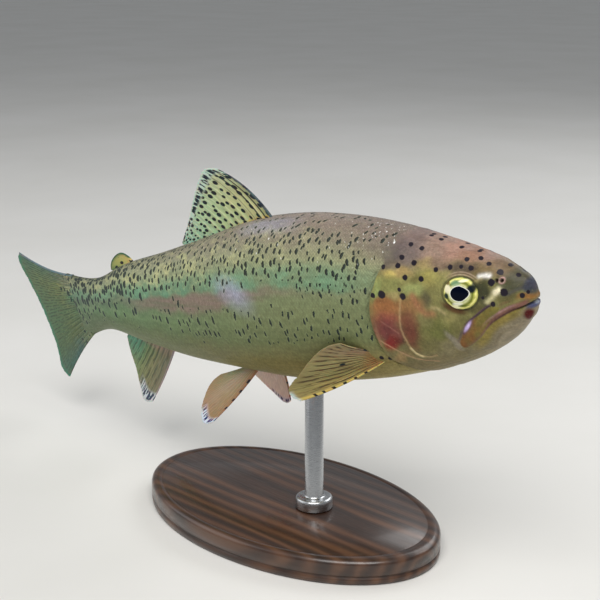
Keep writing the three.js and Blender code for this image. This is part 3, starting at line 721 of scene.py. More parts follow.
def paint_jaw(paint, at):
    """The pale lower jaw with its streaks and the painted shade of its creases, and the yellow strip under
    the lip.
    """
    lay(paint, fade_out(at.above, -1.5, -0.5) * fade_out(at.s, 12, 36), JAW, 0.7)
    ahead = fade(at.s, 8, 16) * fade_out(at.s, 26, 36) * fade(at.level, -0.85, -0.6)
    for offset, waviness, length, width, colour, strength in JAW_STREAKS:
        wave = waviness * clouds(at.s, at.z * 1.1, length, int(offset))
        lay(paint, hump(at.above + offset + wave, width) * ahead, colour, strength)
    strip = fade_out(-at.above, 2.0, 4.6) * fade(-at.above, -0.2, 0.5)
    lay(paint, strip * fade(at.s, 3, 8) * fade_out(at.s, 24, 33), JAW_STRIP, 0.85)


def inner_lip(at):
    """The dark inner edge of the upper lip."""
    return hump(at.above - 0.25, 0.5) * at.open_here * fade(at.s, 2.5, 6)


def paint_lip(paint, at):
    """The rose upper lip."""
    lip = fade(at.above, -0.3, 0.4) * fade_out(at.above, 1.8, 3.2) * at.open_here
    lay(paint, lip * (1 - 0.5 * fade(at.s, 18, 30)) * fade(at.s, 1, 3), LIP_ROSE, 0.9)
    lay(paint, inner_lip(at) * fade_out(at.s, 12, 24), LIP_MAROON, 0.6)


def paint_maxilla(paint, at):
    """The maxilla, its rose lower edge with a painted highlight, a painted shadow along its upper edge, and
    the plum bone over its rear with a painted lilac highlight.
    """
    plate = fade(at.plate, -0.15, 0.5)
    front, rear = np.array(MAXILLA_FRONT[:3]), np.array(MAXILLA_REAR[:3])
    blotch = clouds(at.s, at.z * 1.1, 4, 31)
    tint = front + (rear - front) * fade(at.s + 0.3 * at.z + 2.2 * blotch, 14, 31)[..., None]
    paint += (tint - paint) * (0.92 * plate)[..., None]
    narrowing = 1.3 * fade(at.s, 14, 22)
    edge = plate * fade_out(at.above, 1.5 - narrowing, 2.8 - narrowing) * fade_out(at.s, 26, 34)
    lay(paint, edge, LIP_ROSE, 0.8 - 0.3 * fade(at.s, 14, 26))
    lay(paint, inner_lip(at) * fade_out(at.s, 14, 24), LIP_MAROON, 0.5)
    # painted highlight along the top of the rose band
    lay(paint, hump(at.above - 2.0, 0.45) * fade(at.s, 5, 9) * fade_out(at.s, 16, 24), LIP_HIGHLIGHT, 0.45)
    upper = hump(at.plate + 0.35, 0.4) * fade(at.above, 2.0, 3.5)
    lay(paint, upper * fade(at.s, 14, 18) * fade_out(at.s, 24, 30), MOUTH_SHADOW, 0.9)
    lay(paint, hump(at.plate + 0.4, 0.5) * fade(at.s, 31, 33) * fade(at.above, 2, 5), PLUM, 0.6)
    lay(paint, hump(distance_to_line(at.s, at.z, PLUM_LINE), 0.45), PLUM, 0.75)
    lay(paint, patch(at.s, at.z, SUPRAMAXILLA, (4.4, 1.5), SUPRAMAXILLA_TILT), PLUM, 0.7)
    # painted lilac highlight in the middle of the plum bone
    lay(paint, patch(at.s, at.z, SUPRAMAXILLA, (3.0, 0.75), SUPRAMAXILLA_TILT), LILAC_HIGHLIGHT, 0.95)


def paint_chin(paint, at):
    """The blue tip of the lower lip, the red sore on the right and the dark of the open mouth."""
    below = at.above < 0
    lay(paint, patch(at.s, at.z, (1.0, -3.9), (2.4, 1.2)) * below, LIP_BLUE, 0.85)
    lay(paint, fade_out(at.s, 0.1, 1.0) * below, LIP_PALE, 0.8)
    sore = np.minimum(1, 1.2 * patch(at.s, at.z, (3.6, -7.9), (1.7, 3.5), 12))
    lay(paint, sore * fade(-at.y, 0.5, 2.5), SORE)
    slit = fade_out(np.abs(at.above), 0.1, 0.5) * at.open_here
    lay(paint, slit * fade_out(at.s, 3, 7), MOUTH_SHADOW, 0.6)


def paint_eye_rim(paint, at):
    """Painted shade round the rim of the socket, the brown crescent under it and the lines of the brow."""
    lay(paint, hump(at.eye - 1.03, 0.045), ORBIT_SHADE, 0.85)
    crescent = fade_out(at.eye, 1.16, 1.42) * fade(at.s, 25, 30) * fade_out(at.z, 0.5, 3.5)
    lay(paint, crescent, CRESCENT, 0.9)
    lid = fade(at.z, 9.5, 12) * fade_out(at.s, 30, 35)
    lay(paint, (hump(at.eye - 1.1, 0.03) + hump(at.eye - 1.24, 0.035)) * lid, BROW_PALE, 0.5)
    lay(paint, hump(at.eye - 1.17, 0.035) * lid, BROW_DARK, 0.7)


def paint_nostrils(paint, at):
    """Two openings filled with painted shade, the front one in a pink ring."""
    front = blob(at.s, at.z, NOSTRIL_FRONT, (1, 1))
    lay(paint, hump(front - 1.05, 0.3), NOSTRIL_PINK, 0.8)
    lay(paint, fade_out(front, 0.4, 0.8), MOUTH_SHADOW)
    lay(paint, fade_out(blob(at.s, at.z, NOSTRIL_REAR, (0.9, 1.1)), 0.5, 1.0), MOUTH_SHADOW)


maxilla_outline = smooth_path([*MAXILLA_OUTLINE, MAXILLA_OUTLINE[0]])(np.linspace(0, 1, 57))[:-1].tolist()


def spotting(s, level):
    """Share of places that carry a dark spot, by station and level."""
    upper = fade(level, 0.2, 0.28) * (1 - 0.6 * fade(level, 0.62, 0.8) * fade_out(s, 150, 190))
    lower = 0.95 * fade(level, -0.27, -0.18) * fade_out(level, 0.0, 0.05)
    lower = lower * (1 - 0.3 * fade(s, 110, 140)) * fade_out(s, 226, 240)
    middle = 0.7 * hump(level - 0.06, 0.1) * fade_out(s, 92, 130)
    sparse = 0.07 * fade(level, -0.35, -0.25)
    depth = 0.1 - 0.5 * fade(s, 285, 318)
    dense = fade(level, depth - 0.1, depth + 0.05)
    stalk = fade(s, 228, 252) * (0.2 * fade(level, -0.4, -0.2) + 0.8 * dense)
    front = 70 - 14 * fade(level, 0.55, 0.75)
    share = np.maximum.reduce([upper, lower, middle, sparse, stalk]) * fade(s, front - 4, front + 4)
    off_gill_cover = np.where(level < 0.4, fade(s - gill_edge(level), 0.5, 1.5), 1)
    return 0.95 * share * off_gill_cover


def spot_row(s, level):
    """The same for the row of small spots on the lateral line."""
    near = fade_out(np.abs(level - ROW_LEVEL), 0.03, 0.05)
    return 0.85 * near * fade(s, 75, 78) * fade_out(s, 108, 116)


def markings(s, level, side):
    """Attributes that place the markings, shared by the skin and its scales."""
    return {
        "along": s,
        "level": level,
        "wrap": np.stack([s, level * half_girth(s) / 2, side * 400 + 0 * s], -1),
        "spotting": spotting(s, level),
        "spot_row": spot_row(s, level),
        "head": head_share(s, level),
        "paint": head_paint(s, level, side),
        "spot_field": spot_field(s, level, side),
    }


def skin_relief(at, behind):
    """Height of the head's relief over the straight body; it ends at the gill opening and over the nape."""
    details = head_relief(at.s, at.z, at.y, at.level, at.eye, at.plate)
    details = details + at.mouth * (1 - 0.5 * fade(at.plate, -0.3, 0.2))
    return details * fade_out(behind, -1.0, 0.0) * (1 - fade(at.s, 54, 66) * fade(at.level, 0.3, 0.45))


def close_ends(values):
    """Values of a grid's points, with the first and the last repeated for its two end points."""
    values = values.reshape(-1, *values.shape[2:])
    return np.concatenate([values, values[:1], values[-1:]])


def build_skin(material):
    """The closed skin of head and body, with its relief, its markings and its unwrap."""
    s, level, side = skin_grid()
    points, _, _, outward = body_frame(s, level, side)
    at = SimpleNamespace(s=s, y=points[..., 1], z=points[..., 2], level=level)
    at.eye = eye_distance(points, side)
    at.plate = distance_inside(s, at.z, maxilla_outline)
    at.mouth, at.above, at.open_here = mouth_relief(s, at.z, section(s)[3])
    relief, behind = gill_relief(s, level)
    shoulder = SHOULDER_BULGE * hump(blob(s, at.z, PECTORAL_ROOT, (5, 3.2)), 1.0)
    relief = relief + skin_relief(at, behind) + shoulder
    attributes = markings(s, level, side)
    for paint_part in (paint_jaw, paint_lip, paint_maxilla, paint_chin, paint_eye_rim, paint_nostrils):
        paint_part(attributes["paint"], at)
    surface = points + outward * relief[..., None]
    ends = [surface[0].mean(axis=0, keepdims=True), surface[-1].mean(axis=0, keepdims=True)]
    everything = np.concatenate([surface.reshape(-1, 3), *ends])
    rings, columns = s.shape
    nose, around = rings * columns, np.arange(columns)
    front = cap_faces(nose, around, flipped=True)
    rear = cap_faces(nose + 1, (rings - 1) * columns + around)
    r = np.repeat(np.linspace(0.002, 0.998, rings), columns)
    c = np.tile(np.linspace(0.002, 0.998, columns), rings)
    uv = np.concatenate([np.stack([r, c], -1), [[0.001, 0.5], [0.999, 0.5]]])
    flat = {name: close_ends(values) for name, values in attributes.items()}
    faces = [grid_faces(rings, columns, wrapped=True), front, rear]
    return new_piece("skin", place(everything), faces, material, flat, uv)


# ---------------------------------------------------------------- scales

SCALE_OUTLINE = 10  # points round a scale
SCALE_FRONT = -0.12  # heights of a scale at its front, sides, middle, rear edge and below that edge
SCALE_SIDE = 0.05
SCALE_MIDDLE = 0.16
SCALE_REAR = 0.25
SCALE_SKIRT = -0.14
COAT_SPLIT = 192  # station between the front and rear pieces of scales
BAKE_PATCH = 0.0014  # half size of a scale's patch in its unwrap


def scale_template():
    """Points (along, across, height) of a scale, faces of its top and rear wall, and where its rim is."""
    angle = np.arange(SCALE_OUTLINE) / SCALE_OUTLINE * 2 * math.pi
    along, across = np.cos(angle), np.sin(angle)
    height = np.where(along > 0, SCALE_SIDE + (SCALE_REAR - SCALE_SIDE) * along,
                      SCALE_SIDE + (SCALE_FRONT - SCALE_SIDE) * -along)
    rim = np.stack([along, across, height], -1)
    middle = np.array([[0.1, 0, SCALE_MIDDLE]])
    rear = [i for i in range(SCALE_OUTLINE) if along[i] > -0.1]
    rear = sorted(rear, key=lambda i: (i + SCALE_OUTLINE // 2) % SCALE_OUTLINE)
    top_edge = rim[rear]
    skirt = top_edge.copy()
    skirt[:, 2] = SCALE_SKIRT
    points = np.concatenate([middle, rim, top_edge, skirt])
    around = np.arange(SCALE_OUTLINE)
    fan = np.stack([0 * around, 1 + around, 1 + (around + 1) % SCALE_OUTLINE], -1)
    count = len(rear)
    first = 1 + SCALE_OUTLINE + np.arange(count - 1)
    wall = np.stack([first, first + count, first + count + 1, first + 1], -1)
    edge = np.concatenate([[0], np.ones(SCALE_OUTLINE + 2 * count)])
    return points, fan, wall, edge


def scale_roots():
    """Stations, levels and spacings of the scales of one side, in staggered rows."""
    stations = [min(s for _, s in NAPE)]
    while stations[-1] < TAIL_END - 1.5:
        across = half_girth(stations[-1]) / SCALE_ROWS
        stations.append(stations[-1] + max(SCALE_PITCH * across, SCALE_PITCH_LEAST) / 2)
    stations = np.array(stations)
    row = (np.arange(SCALE_ROWS) + 0.5) / SCALE_ROWS * 2 - 1
    stagger = (np.arange(len(stations)) % 2)[:, None] / SCALE_ROWS
    s, level = np.broadcast_arrays(stations[:, None], row[None, :] + 0 * stations[:, None])
    level = level + stagger
    across = half_girth(s) / SCALE_ROWS
    pitch = np.maximum(SCALE_PITCH * across, SCALE_PITCH_LEAST)
    nape = np.interp(level, *np.array(NAPE).T)
    kept = np.where(level < 0.4, s > gill_edge(level) + 1.6, s > nape) & (np.abs(level) < 0.995)
    return s[kept], level[kept], pitch[kept], across[kept]


def build_scales(name, side, reach, material, rng):
    """The scales of one side between two stations, as one mesh."""
    s, level, pitch, across = scale_roots()
    within = (s >= reach[0]) & (s < reach[1])
    s, level, pitch, across = s[within], level[within], pitch[within], across[within]
    count = len(s)
    s = s + rng.uniform(-0.06, 0.06, count) * pitch
    level = level + rng.uniform(-0.05, 0.05, count) / SCALE_ROWS
    points, along, around, outward = body_frame(s, level, np.full(count, float(side)))
    size = rng.uniform(0.94, 1.06, count)
    length = SCALE_REACH[0] * pitch * size
    breadth = SCALE_REACH[1] * across * size
    # Scales lie flatter where they are small and just behind the gill cover.
    lift = rng.uniform(0.8, 1.15, count) * np.clip(across / 1.6, 0.5, 1.0)
    behind = np.where(level < 0.4, s - gill_edge(level), 9)
    lift = lift * np.clip(behind / 5, 0.35, 1)
    base = np.minimum(gill_relief(s, level)[0], -COAT_DEPTH)
    template, fan, wall, edge = scale_template()
    a, b, h = template.T
    everything = (points[:, None] + along[:, None] * (a * length[:, None])[..., None]
                  + around[:, None] * (b * breadth[:, None])[..., None]
                  + outward[:, None] * (h * lift[:, None] + base[:, None])[..., None])
    station = s[:, None] + a * length[:, None]
    height = level[:, None] + b * breadth[:, None] / (half_girth(s) / 2)[:, None]
    marks = markings(station, height, np.full(station.shape, float(side)))
    marks["edge"] = np.broadcast_to(edge, station.shape)
    marks["tint"] = np.broadcast_to(rng.uniform(0, 1, count)[:, None], station.shape)
    start = (np.arange(count) * len(template))[:, None, None]
    faces = []
    for part in (fan, wall):
        part = part[:, ::-1] if side < 0 else part
        faces.append((part[None] + start).reshape(-1, part.shape[1]))
    u = (s - reach[0]) / (reach[1] - reach[0]) * 0.98 + 0.01
    v = (level + 1) / 2 * 0.98 + 0.01
    uv = np.stack([u[:, None] + a * BAKE_PATCH, v[:, None] + b * BAKE_PATCH], -1).reshape(-1, 2)
    flat = {key: values.reshape(-1, *values.shape[2:]) for key, values in marks.items()}
    return new_piece(name, place(everything.reshape(-1, 3)), faces, material, flat, uv)


# ---------------------------------------------------------------- fins

FIN_COLUMNS_PER_RAY = 10
FIN_ROWS = 64
CORNER_WIDTH = 0.14  # share of a fin's width over which its corners are rounded
CORNER_CUT = 0.08
FIN_PLUMP = (0.84, 0.6)  # thickness of a ray and of the web, as shares of the solid's


def branching(u, v, rays):
    """Ridge height of the rays, 1 on a ray and 0 between; each ray branches twice on its way out."""
    single = np.abs(np.cos(math.pi * u * rays)) ** 3
    double = np.abs(np.cos(2 * math.pi * u * rays)) ** 2.4
    fourfold = np.abs(np.cos(4 * math.pi * u * rays)) ** 2
    ridge = single + (double - single) * fade(v, 0.38, 0.6)
    return ridge + (fourfold - ridge) * fade(v, 0.68, 0.88)


def fin_outline(u, v, rays):
    """How far out each place of a fin lies: rounded corners and a margin ragged between the rays."""
    ragged = 0.006 * (1 - branching(u, np.ones_like(u), rays)) if rays else 0
    ragged = ragged + 0.006 * np.sin(u * 37) * np.sin(u * 91)
    corners = np.maximum(1 - u / CORNER_WIDTH, 0) ** 2 + np.maximum(1 - (1 - u) / CORNER_WIDTH, 0) ** 2
    return v * (1 - ragged * v ** 4 - CORNER_CUT * corners * v ** 2)


def fin_half_thickness(u, v, reach, ridge, thickness):
    """Half the thickness: thinner outwards and between the rays, with a thin border."""
    root, margin = thickness
    thick = root + (margin - root) * reach ** THINNING
    share = FIN_PLUMP[1] + (FIN_PLUMP[0] - FIN_PLUMP[1]) * ridge
    sides = np.minimum(fade(u, -0.002, 0.012), fade(1 - u, -0.002, 0.012))
    border = np.minimum(sides, fade(1 - v, -0.004, 0.02))
    return thick * share * (0.35 + 0.65 * border) / 2


def fin_faces(rows, columns):
    """Faces of the front grid, of the back grid and of the strip round their edge."""
    count = rows * columns
    loop = np.concatenate([
        np.arange(columns - 1, 0, -1),
        np.arange(0, count - columns, columns),
        count - columns + np.arange(columns - 1),
        np.arange(count - 1, columns - 1, -columns),
    ])
    following = np.roll(loop, -1)
    strip = np.stack([loop, following, following + count, loop + count], -1)
    return [grid_faces(rows, columns), grid_faces(rows, columns, flipped=True) + count, strip]


def fin_piece(name, node, fin, middle, material):
    """A closed thin fin with raised branching rays, from its middle surface."""
    rays = fin["rays"]
    columns = max(rays * FIN_COLUMNS_PER_RAY, 60) + 1
    u, v = np.meshgrid(np.linspace(0, 1, columns), np.linspace(0, 1, FIN_ROWS))
    ridge = branching(u, v, rays) if rays else 0.5 + 0 * u
    reach = fin_outline(u, v, rays)
    step = 0.01
    along = middle(u, np.minimum(reach + step, 1)) - middle(u, np.maximum(reach - step, 0))
    across = middle(np.minimum(u + step, 1), reach) - middle(np.maximum(u - step, 0), reach)
    normal = unit(np.cross(across, along))
    centre = middle(u, reach)
    off = normal * fin_half_thickness(u, v, reach, ridge, fin["thickness"])[..., None]
    points = np.concatenate([(centre + off).reshape(-1, 3), (centre - off).reshape(-1, 3)])
    inward = normal[..., 1] * np.round(centre[..., 1])
    attributes = {
        "fin_u": np.tile(u.ravel(), 2),
        "fin_v": np.tile(v.ravel(), 2),
        "ray": np.tile(ridge.ravel(), 2),
        "spotting": np.tile(fade_out(v, 0.04, 0.36).ravel(), 2),
        "fin_place": np.tile(np.stack([-centre[..., 0], centre[..., 2], 0 * u], -1).reshape(-1, 3), (2, 1)),
        "inner": np.concatenate([inward.ravel() < 0, inward.ravel() > 0]),
    }
    piece = new_piece(name, place(points), fin_faces(FIN_ROWS, columns), material, attributes)
    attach(piece, "root")
    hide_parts(node)
    return piece


def fin_middle(base_point, margin_point, bow_at):
    """Middle surface of a fin from its base, its margin and the bow of its first and last rays."""
    def middle(u, v):
        base, margin = base_point(u), margin_point(u)
        return base + (margin - base) * v[..., None] + bow_at(u) * (4 * v * (1 - v))[..., None]
    return middle


def on_midline(s, z):
    """Points of the straight fish's middle plane."""
    return np.stack([-s, 0 * s, z + 0 * s], -1)


def median_fin(fin, side):
    """Middle surface of a fin on the back (side 1) or under the belly (side -1)."""
    margin = smooth_path(fin["margin"])

    def base_point(u):
        s = fin["base"][0] + (fin["base"][1] - fin["base"][0]) * u
        back, belly, _, _ = section(s)
        return on_midline(s, (back if side > 0 else belly) - side * FIN_SUNK)

    def margin_point(u):
        point = margin(u)
        return on_midline(point[..., 0], point[..., 1])

    def bow_at(u):
        bow = fin["bow"] * (1 - u) ** BOW_FADE * BOW_FORWARD
        return np.stack([bow, 0 * bow, bow * side], -1)

    return fin_middle(base_point, margin_point, bow_at)


def caudal_fin():
    """Middle surface of the tail fin."""
    s, top, bottom = CAUDAL["base"]
    margin = smooth_path(CAUDAL["margin"])

    def margin_point(u):
        point = margin(u)
        return on_midline(point[..., 0], point[..., 1])

    def bow_at(u):
        up = CAUDAL["bow"] * (1 - u) ** LOBE_FADE - CAUDAL["last_bow"] * u ** LOBE_FADE
        return np.stack([0 * up, 0 * up, up], -1)

    return fin_middle(lambda u: on_midline(s + 0 * u, top + (bottom - top) * u), margin_point, bow_at)


def paired_fin(fin, side):
    """Middle surface of a pectoral or pelvic fin."""
    base, margin = smooth_path(fin["base"]), smooth_path(fin["margin"])

    def mirrored(point):
        return point * np.array([-1, -side, 1])

    def bow_at(u):
        bow = fin["bow"] * (1 - u) ** BOW_FADE
        forward, outward, upward = (part * bow for part in PAIRED_BOW)
        return np.stack([forward, side * (outward + fin["lift"]), upward], -1)

    return fin_middle(lambda u: mirrored(base(u)), lambda u: mirrored(margin(u)), bow_at)


# ---------------------------------------------------------------- materials


class Shader:
    """A material's node tree, with short calls for the nodes it uses."""

    def __init__(self, name):
        self.material = bpy.data.materials.new(name)
        self.material.use_nodes = True
        self.tree = self.material.node_tree
        self.surface = self.tree.nodes["Principled BSDF"]

    def node(self, kind, inputs, **settings):
        """A new node; each input is a plain value or another node's output."""
        made = self.tree.nodes.new(kind)
        for key, value in settings.items():
            setattr(made, key, value)
        for key, value in inputs.items():
            self.feed(made.inputs[key], value)
        return made

    def feed(self, socket, value):
        if isinstance(value, bpy.types.NodeSocket):
            self.tree.links.new(value, socket)
        else:
            socket.default_value = value

    def attribute(self, name, output="Fac"):
        return self.node("ShaderNodeAttribute", {}, attribute_name=name).outputs[output]

    def math(self, operation, first, second=0.0):
        return self.node("ShaderNodeMath", {0: first, 1: second}, operation=operation).outputs[0]

    def scaled(self, value, scale, offset=0.0):
        """value * scale + offset."""
        inputs = {0: value, 1: scale, 2: offset}
        return self.node("ShaderNodeMath", inputs, operation="MULTIPLY_ADD").outputs[0]

    def sum(self, first, second):
        return self.math("ADD", first, second)

    def difference(self, first, second):
        return self.math("SUBTRACT", first, second)

    def length(self, x, y):
        """Length of a flat vector."""
        return self.math("SQRT", self.sum(self.product(x, x), self.product(y, y)))

    def product(self, first, *others):
        for other in others:
            first = self.math("MULTIPLY", first, other)
        return first

    def band(self, value, start, end, low=0.0, high=1.0):
        """low before start, high after end, smooth between."""
        inputs = {"Value": value, "From Min": start, "From Max": end, "To Min": low, "To Max": high}
        return self.node("ShaderNodeMapRange", inputs, interpolation_type="SMOOTHSTEP").outputs[0]

    def stretched(self, where, scale):
        inputs = {"Vector": where, "Scale": scale}
        return self.node("ShaderNodeMapping", inputs).outputs[0]

    def noise(self, where, scale, detail=3.0, roughness=0.5):
        inputs = {"Vector": where, "Scale": scale, "Detail": detail, "Roughness": roughness}
        return self.node("ShaderNodeTexNoise", inputs).outputs["Fac"]

    def cells(self, where, randomness):
        """Middle of the nearest cell of a flat pattern, and that cell's random colour."""
        inputs = {"Vector": where, "Scale": 1.0, "Randomness": randomness}
        made = self.node("ShaderNodeTexVoronoi", inputs, voronoi_dimensions="2D")
        return made.outputs["Position"], made.outputs["Color"]

    def mix(self, share, first, second, blend="MIX"):
        made = self.node("ShaderNodeMix", {0: share, 6: first, 7: second}, data_type="RGBA", blend_type=blend)
        return made.outputs[2]

    def shade(self, colour, share):
        """A colour made darker or lighter by a share."""
        return self.mix(1.0, colour, self.combine(share, share, share), "MULTIPLY")

    def ramp(self, value, stops):
        """A colour that runs through (position, colour) stops."""
        made = self.node("ShaderNodeValToRGB", {"Fac": value})
        elements = made.color_ramp.elements
        while len(elements) < len(stops):
            elements.new(0.5)
        for element, (position, colour) in zip(elements, stops):
            element.position = position
            element.color = colour
        return made.outputs["Color"]

    def separate(self, vector):
        return self.node("ShaderNodeSeparateXYZ", {"Vector": vector}).outputs

    def combine(self, x, y, z=0.0):
        return self.node("ShaderNodeCombineXYZ", {"X": x, "Y": y, "Z": z}).outputs[0]

    def bump(self, height, strength, distance):
        inputs = {"Height": height, "Strength": strength, "Distance": distance}
        return self.node("ShaderNodeBump", inputs).outputs[0]

    def finish(self, **surface):
        """Feeds the surface's inputs, named with _ for each space, and gives the material."""
        for key, value in surface.items():
            self.feed(self.surface.inputs[key.replace("_", " ")], value)
        return self.material


BODY_FRONT = (  # colours of the front of the trunk, from belly to back
    (0.00, tone(186, 172, 126)), (0.16, tone(156, 142, 94)), (0.28, tone(134, 122, 74)),
    (0.40, tone(112, 120, 78)), (0.50, tone(124, 132, 92)), (0.58, tone(128, 138, 100)),
    (0.70, tone(154, 156, 120)), (0.80, tone(144, 134, 114)), (0.90, tone(148, 132, 120)),
    (1.00, tone(150, 136, 128)),
)
BODY_REAR = (  # colours of the tail stalk
    (0.00, tone(142, 148, 108)), (0.20, tone(116, 126, 86)), (0.36, tone(100, 118, 78)),
    (0.46, tone(108, 138, 94)), (0.56, tone(104, 126, 98)), (0.66, tone(132, 164, 126)),
    (0.76, tone(168, 174, 138)), (0.86, tone(150, 150, 122)), (1.00, tone(134, 132, 110)),
)
NAPE_GREY = tone(118, 100, 96)
TAIL_TEAL = tone(58, 92, 78)
TEAL = tone(100, 160, 128)
ROSE = tone(140, 116, 108)
SHEEN = tone(172, 174, 196)
STRAW = tone(202, 200, 146)
DUSK = tone(88, 106, 88)
SPOT_DARK = tone(12, 16, 18)
SPOT_FILL = tone(30, 48, 48)
SPOT_HALO = tone(176, 186, 140)
TAIL_SPOT = tone(12, 42, 46)
FIN_SPOT = tone(14, 28, 34)
HEAD_SPOT = tone(32, 26, 36)
HEAD_FLECK = tone(196, 182, 132)
SCALE_EDGE = tone(84, 80, 66)
SPOT_CELL = (3.5, 4.4)  # mean spacing of the flank's spots along and round the body
SPOT_HALF = (0.84, 1.5)  # half width and half height of a spot
ROW_CELL = (3.0, 2.6)  # the same for the row of small spots on the lateral line
ROW_HALF = (0.6, 1.15)
GLINT = tone(240, 240, 236)
SHEEN_CENTRE = (156.0, 0.145)  # its station and level
SHEEN_HALF = (19, 8)
SHEEN_LEAN = (0.95, 0.31)  # how far its long axis runs back and how far up
SHEEN_SIDE_HEIGHT = 44.0  # rise from the middle of the side to the back, for one level


def lateral_bands(shader, colour, along, height, cloud, streak):
    """The teal strip over the rose band of the lateral line."""
    teal = shader.product(shader.band(height, 0.12, 0.2), shader.band(height, 0.42, 0.27),
                          shader.band(along, 70, 100, 0.2, 0.6), shader.band(cloud, 0.36, 0.58, 0.35, 1.0))
    colour = shader.mix(teal, colour, TEAL)
    low = shader.band(along, 130, 180, 0.08, -0.03)
    rose = shader.product(shader.band(shader.difference(height, low), 0.0, 0.07),
                          shader.band(height, 0.2, 0.13), shader.band(along, 96, 150, 0.1, 0.85),
                          shader.band(along, 276, 214), shader.band(streak, 0.25, 0.6, 0.45, 1.0))
    return shader.mix(rose, colour, ROSE)


def sheens(shader, colour, along, level, cloud):
    """An oval of sheen, which leans up towards the tail, and a haze in front of the dorsal fin."""
    station, place_level = SHEEN_CENTRE
    ds = shader.scaled(along, 1.0, -station)
    dz = shader.scaled(level, SHEEN_SIDE_HEIGHT, -place_level * SHEEN_SIDE_HEIGHT)
    lean, rise = SHEEN_LEAN
    lengthwise = shader.sum(shader.scaled(ds, lean), shader.scaled(dz, rise))
    across = shader.difference(shader.scaled(dz, lean), shader.scaled(ds, rise))
    half_length, half_height = SHEEN_HALF
    far = shader.length(shader.scaled(across, 1 / half_height), shader.scaled(lengthwise, 1 / half_length))
    sheen = shader.product(shader.band(far, 1.05, 0.0), shader.band(cloud, 0.35, 0.6, 0.6, 0.85))
    colour = shader.mix(sheen, colour, SHEEN)
    haze = shader.product(shader.band(level, 0.62, 0.76), shader.band(level, 0.97, 0.85),
                          shader.band(along, 105, 128), shader.band(along, 160, 140), 0.45)
    return shader.mix(haze, colour, SHEEN)


def mottling(shader, colour, along, level, wrap):
    """Straw and dusky patches of the upper side."""
    mottle = shader.noise(wrap, 0.28, 3.0, 0.6)
    upper = shader.band(level, 0.1, 0.35)
    light = shader.product(shader.band(mottle, 0.52, 0.66), upper, shader.band(along, 110, 210, 0.1, 0.45))
    colour = shader.mix(light, colour, STRAW)
    dusk = shader.product(shader.band(mottle, 0.46, 0.34), upper, shader.band(along, 80, 200, 0.12, 0.3))
    return shader.mix(dusk, colour, DUSK)


def body_pattern(shader, along, level, wrap):
    """Colour of the trunk from its station and level."""
    cloud = shader.noise(wrap, 0.055, 3.0)
    streak = shader.noise(shader.stretched(wrap, (0.035, 0.5, 1.0)), 1.0, 3.0, 0.6)
    height = shader.sum(level, shader.scaled(cloud, 0.22, -0.11))
    half = shader.scaled(height, 0.5, 0.5)
    front, rear = shader.ramp(half, BODY_FRONT), shader.ramp(half, BODY_REAR)
    colour = shader.mix(shader.band(along, 110, 280), front, rear)
    patches = shader.band(shader.noise(wrap, 0.12, 2.0), 0.46, 0.64)
    straw = shader.product(patches, shader.band(level, 0.25, 0.4), shader.band(level, 0.85, 0.6),
                           shader.band(along, 70, 210, 0.12, 0.75))
    colour = shader.mix(straw, colour, STRAW)
    colour = lateral_bands(shader, colour, along, height, cloud, streak)
    colour = sheens(shader, colour, along, level, cloud)
    nape = shader.product(shader.band(level, 0.3, 0.5), shader.band(along, 96, 66), 0.4)
    colour = shader.mix(nape, colour, NAPE_GREY)
    colour = shader.mix(shader.band(along, 250, 325, 0.0, 0.35), colour, TAIL_TEAL)
    colour = mottling(shader, colour, along, level, wrap)
    fine = shader.noise(wrap, 0.6, 4.0, 0.65)
    colour = shader.shade(colour, shader.band(fine, 0.3, 0.7, 0.84, 1.15))
    return shader.shade(colour, shader.band(streak, 0.3, 0.7, 0.91, 1.09))


def spot_growth(shader, along, g, size):
    """Size of a flank spot against the usual one, and how far it is towards the tail."""
    # Towards the tail the spots above the middle are larger, and those below it smaller.
    rear = shader.band(along, 200, 262)
    change = shader.band(g, -6.0, 3.0, -0.25, 0.32)
    grow = shader.band(size, 0.0, 1.0, 0.66, 1.12)
    grow = shader.product(grow, shader.sum(shader.product(rear, change), 1.0))
    # Low down on the front of the trunk they are smaller too.
    low_front = shader.product(shader.band(along, 175, 110), shader.band(g, 12, 0), -0.26)
    return shader.product(grow, shader.sum(1.0, low_front)), rear


def flank_spots(shader, along, wrap, cell, half, allowed):
    """Masks of the comma-shaped spots, of their surroundings and of each spot's dark rear edge.

    cell is the mean spacing of the spots, half their half size and allowed the attribute that places them.
    """
    s, g, side = shader.separate(wrap)
    x = shader.sum(shader.scaled(s, 1 / cell[0]), side)
    y = shader.scaled(g, 1 / cell[1])
    centre, random = shader.cells(shader.combine(x, y), 0.88)
    chance, lean, size = shader.separate(random)
    cx, cy, _ = shader.separate(centre)
    dx = shader.product(shader.difference(x, cx), cell[0])
    dy = shader.product(shader.difference(y, cy), cell[1])
    leaning = shader.sum(dx, shader.product(dy, shader.scaled(lean, 0.7, -0.2)))
    curved = shader.sum(leaning, shader.product(dy, dy, 0.12))
    wobble = shader.scaled(shader.noise(wrap, 1.1, 2.0), 0.9, -0.45)
    grow, rear = spot_growth(shader, along, g, size)
    wide = shader.product(grow, shader.scaled(rear, 0.4 * half[0], half[0]))
    across = shader.math("DIVIDE", shader.sum(curved, wobble), wide)
    up = shader.math("DIVIDE", dy, shader.scaled(grow, half[1]))
    far = shader.length(across, up)
    shown = shader.math("GREATER_THAN", shader.attribute(allowed), chance)
    spot = shader.product(shader.band(far, 1.1, 0.85), shown)
    halo = shader.product(shader.band(far, 2.1, 1.2), shown)
    return spot, halo, shader.band(across, -0.25, 0.35)


def head_skin(shader, wrap, grain, blotch):
    """The head's painted colours, made uneven and flecked."""
    head = shader.shade(shader.attribute("paint", "Color"), shader.band(grain, 0.3, 0.7, 0.88, 1.12))
    head = shader.shade(head, shader.band(blotch, 0.3, 0.7, 0.84, 1.14))
    flecks = shader.product(shader.band(shader.noise(wrap, 1.3, 2.0), 0.62, 0.78), 0.3)
    return shader.mix(flecks, head, HEAD_FLECK)


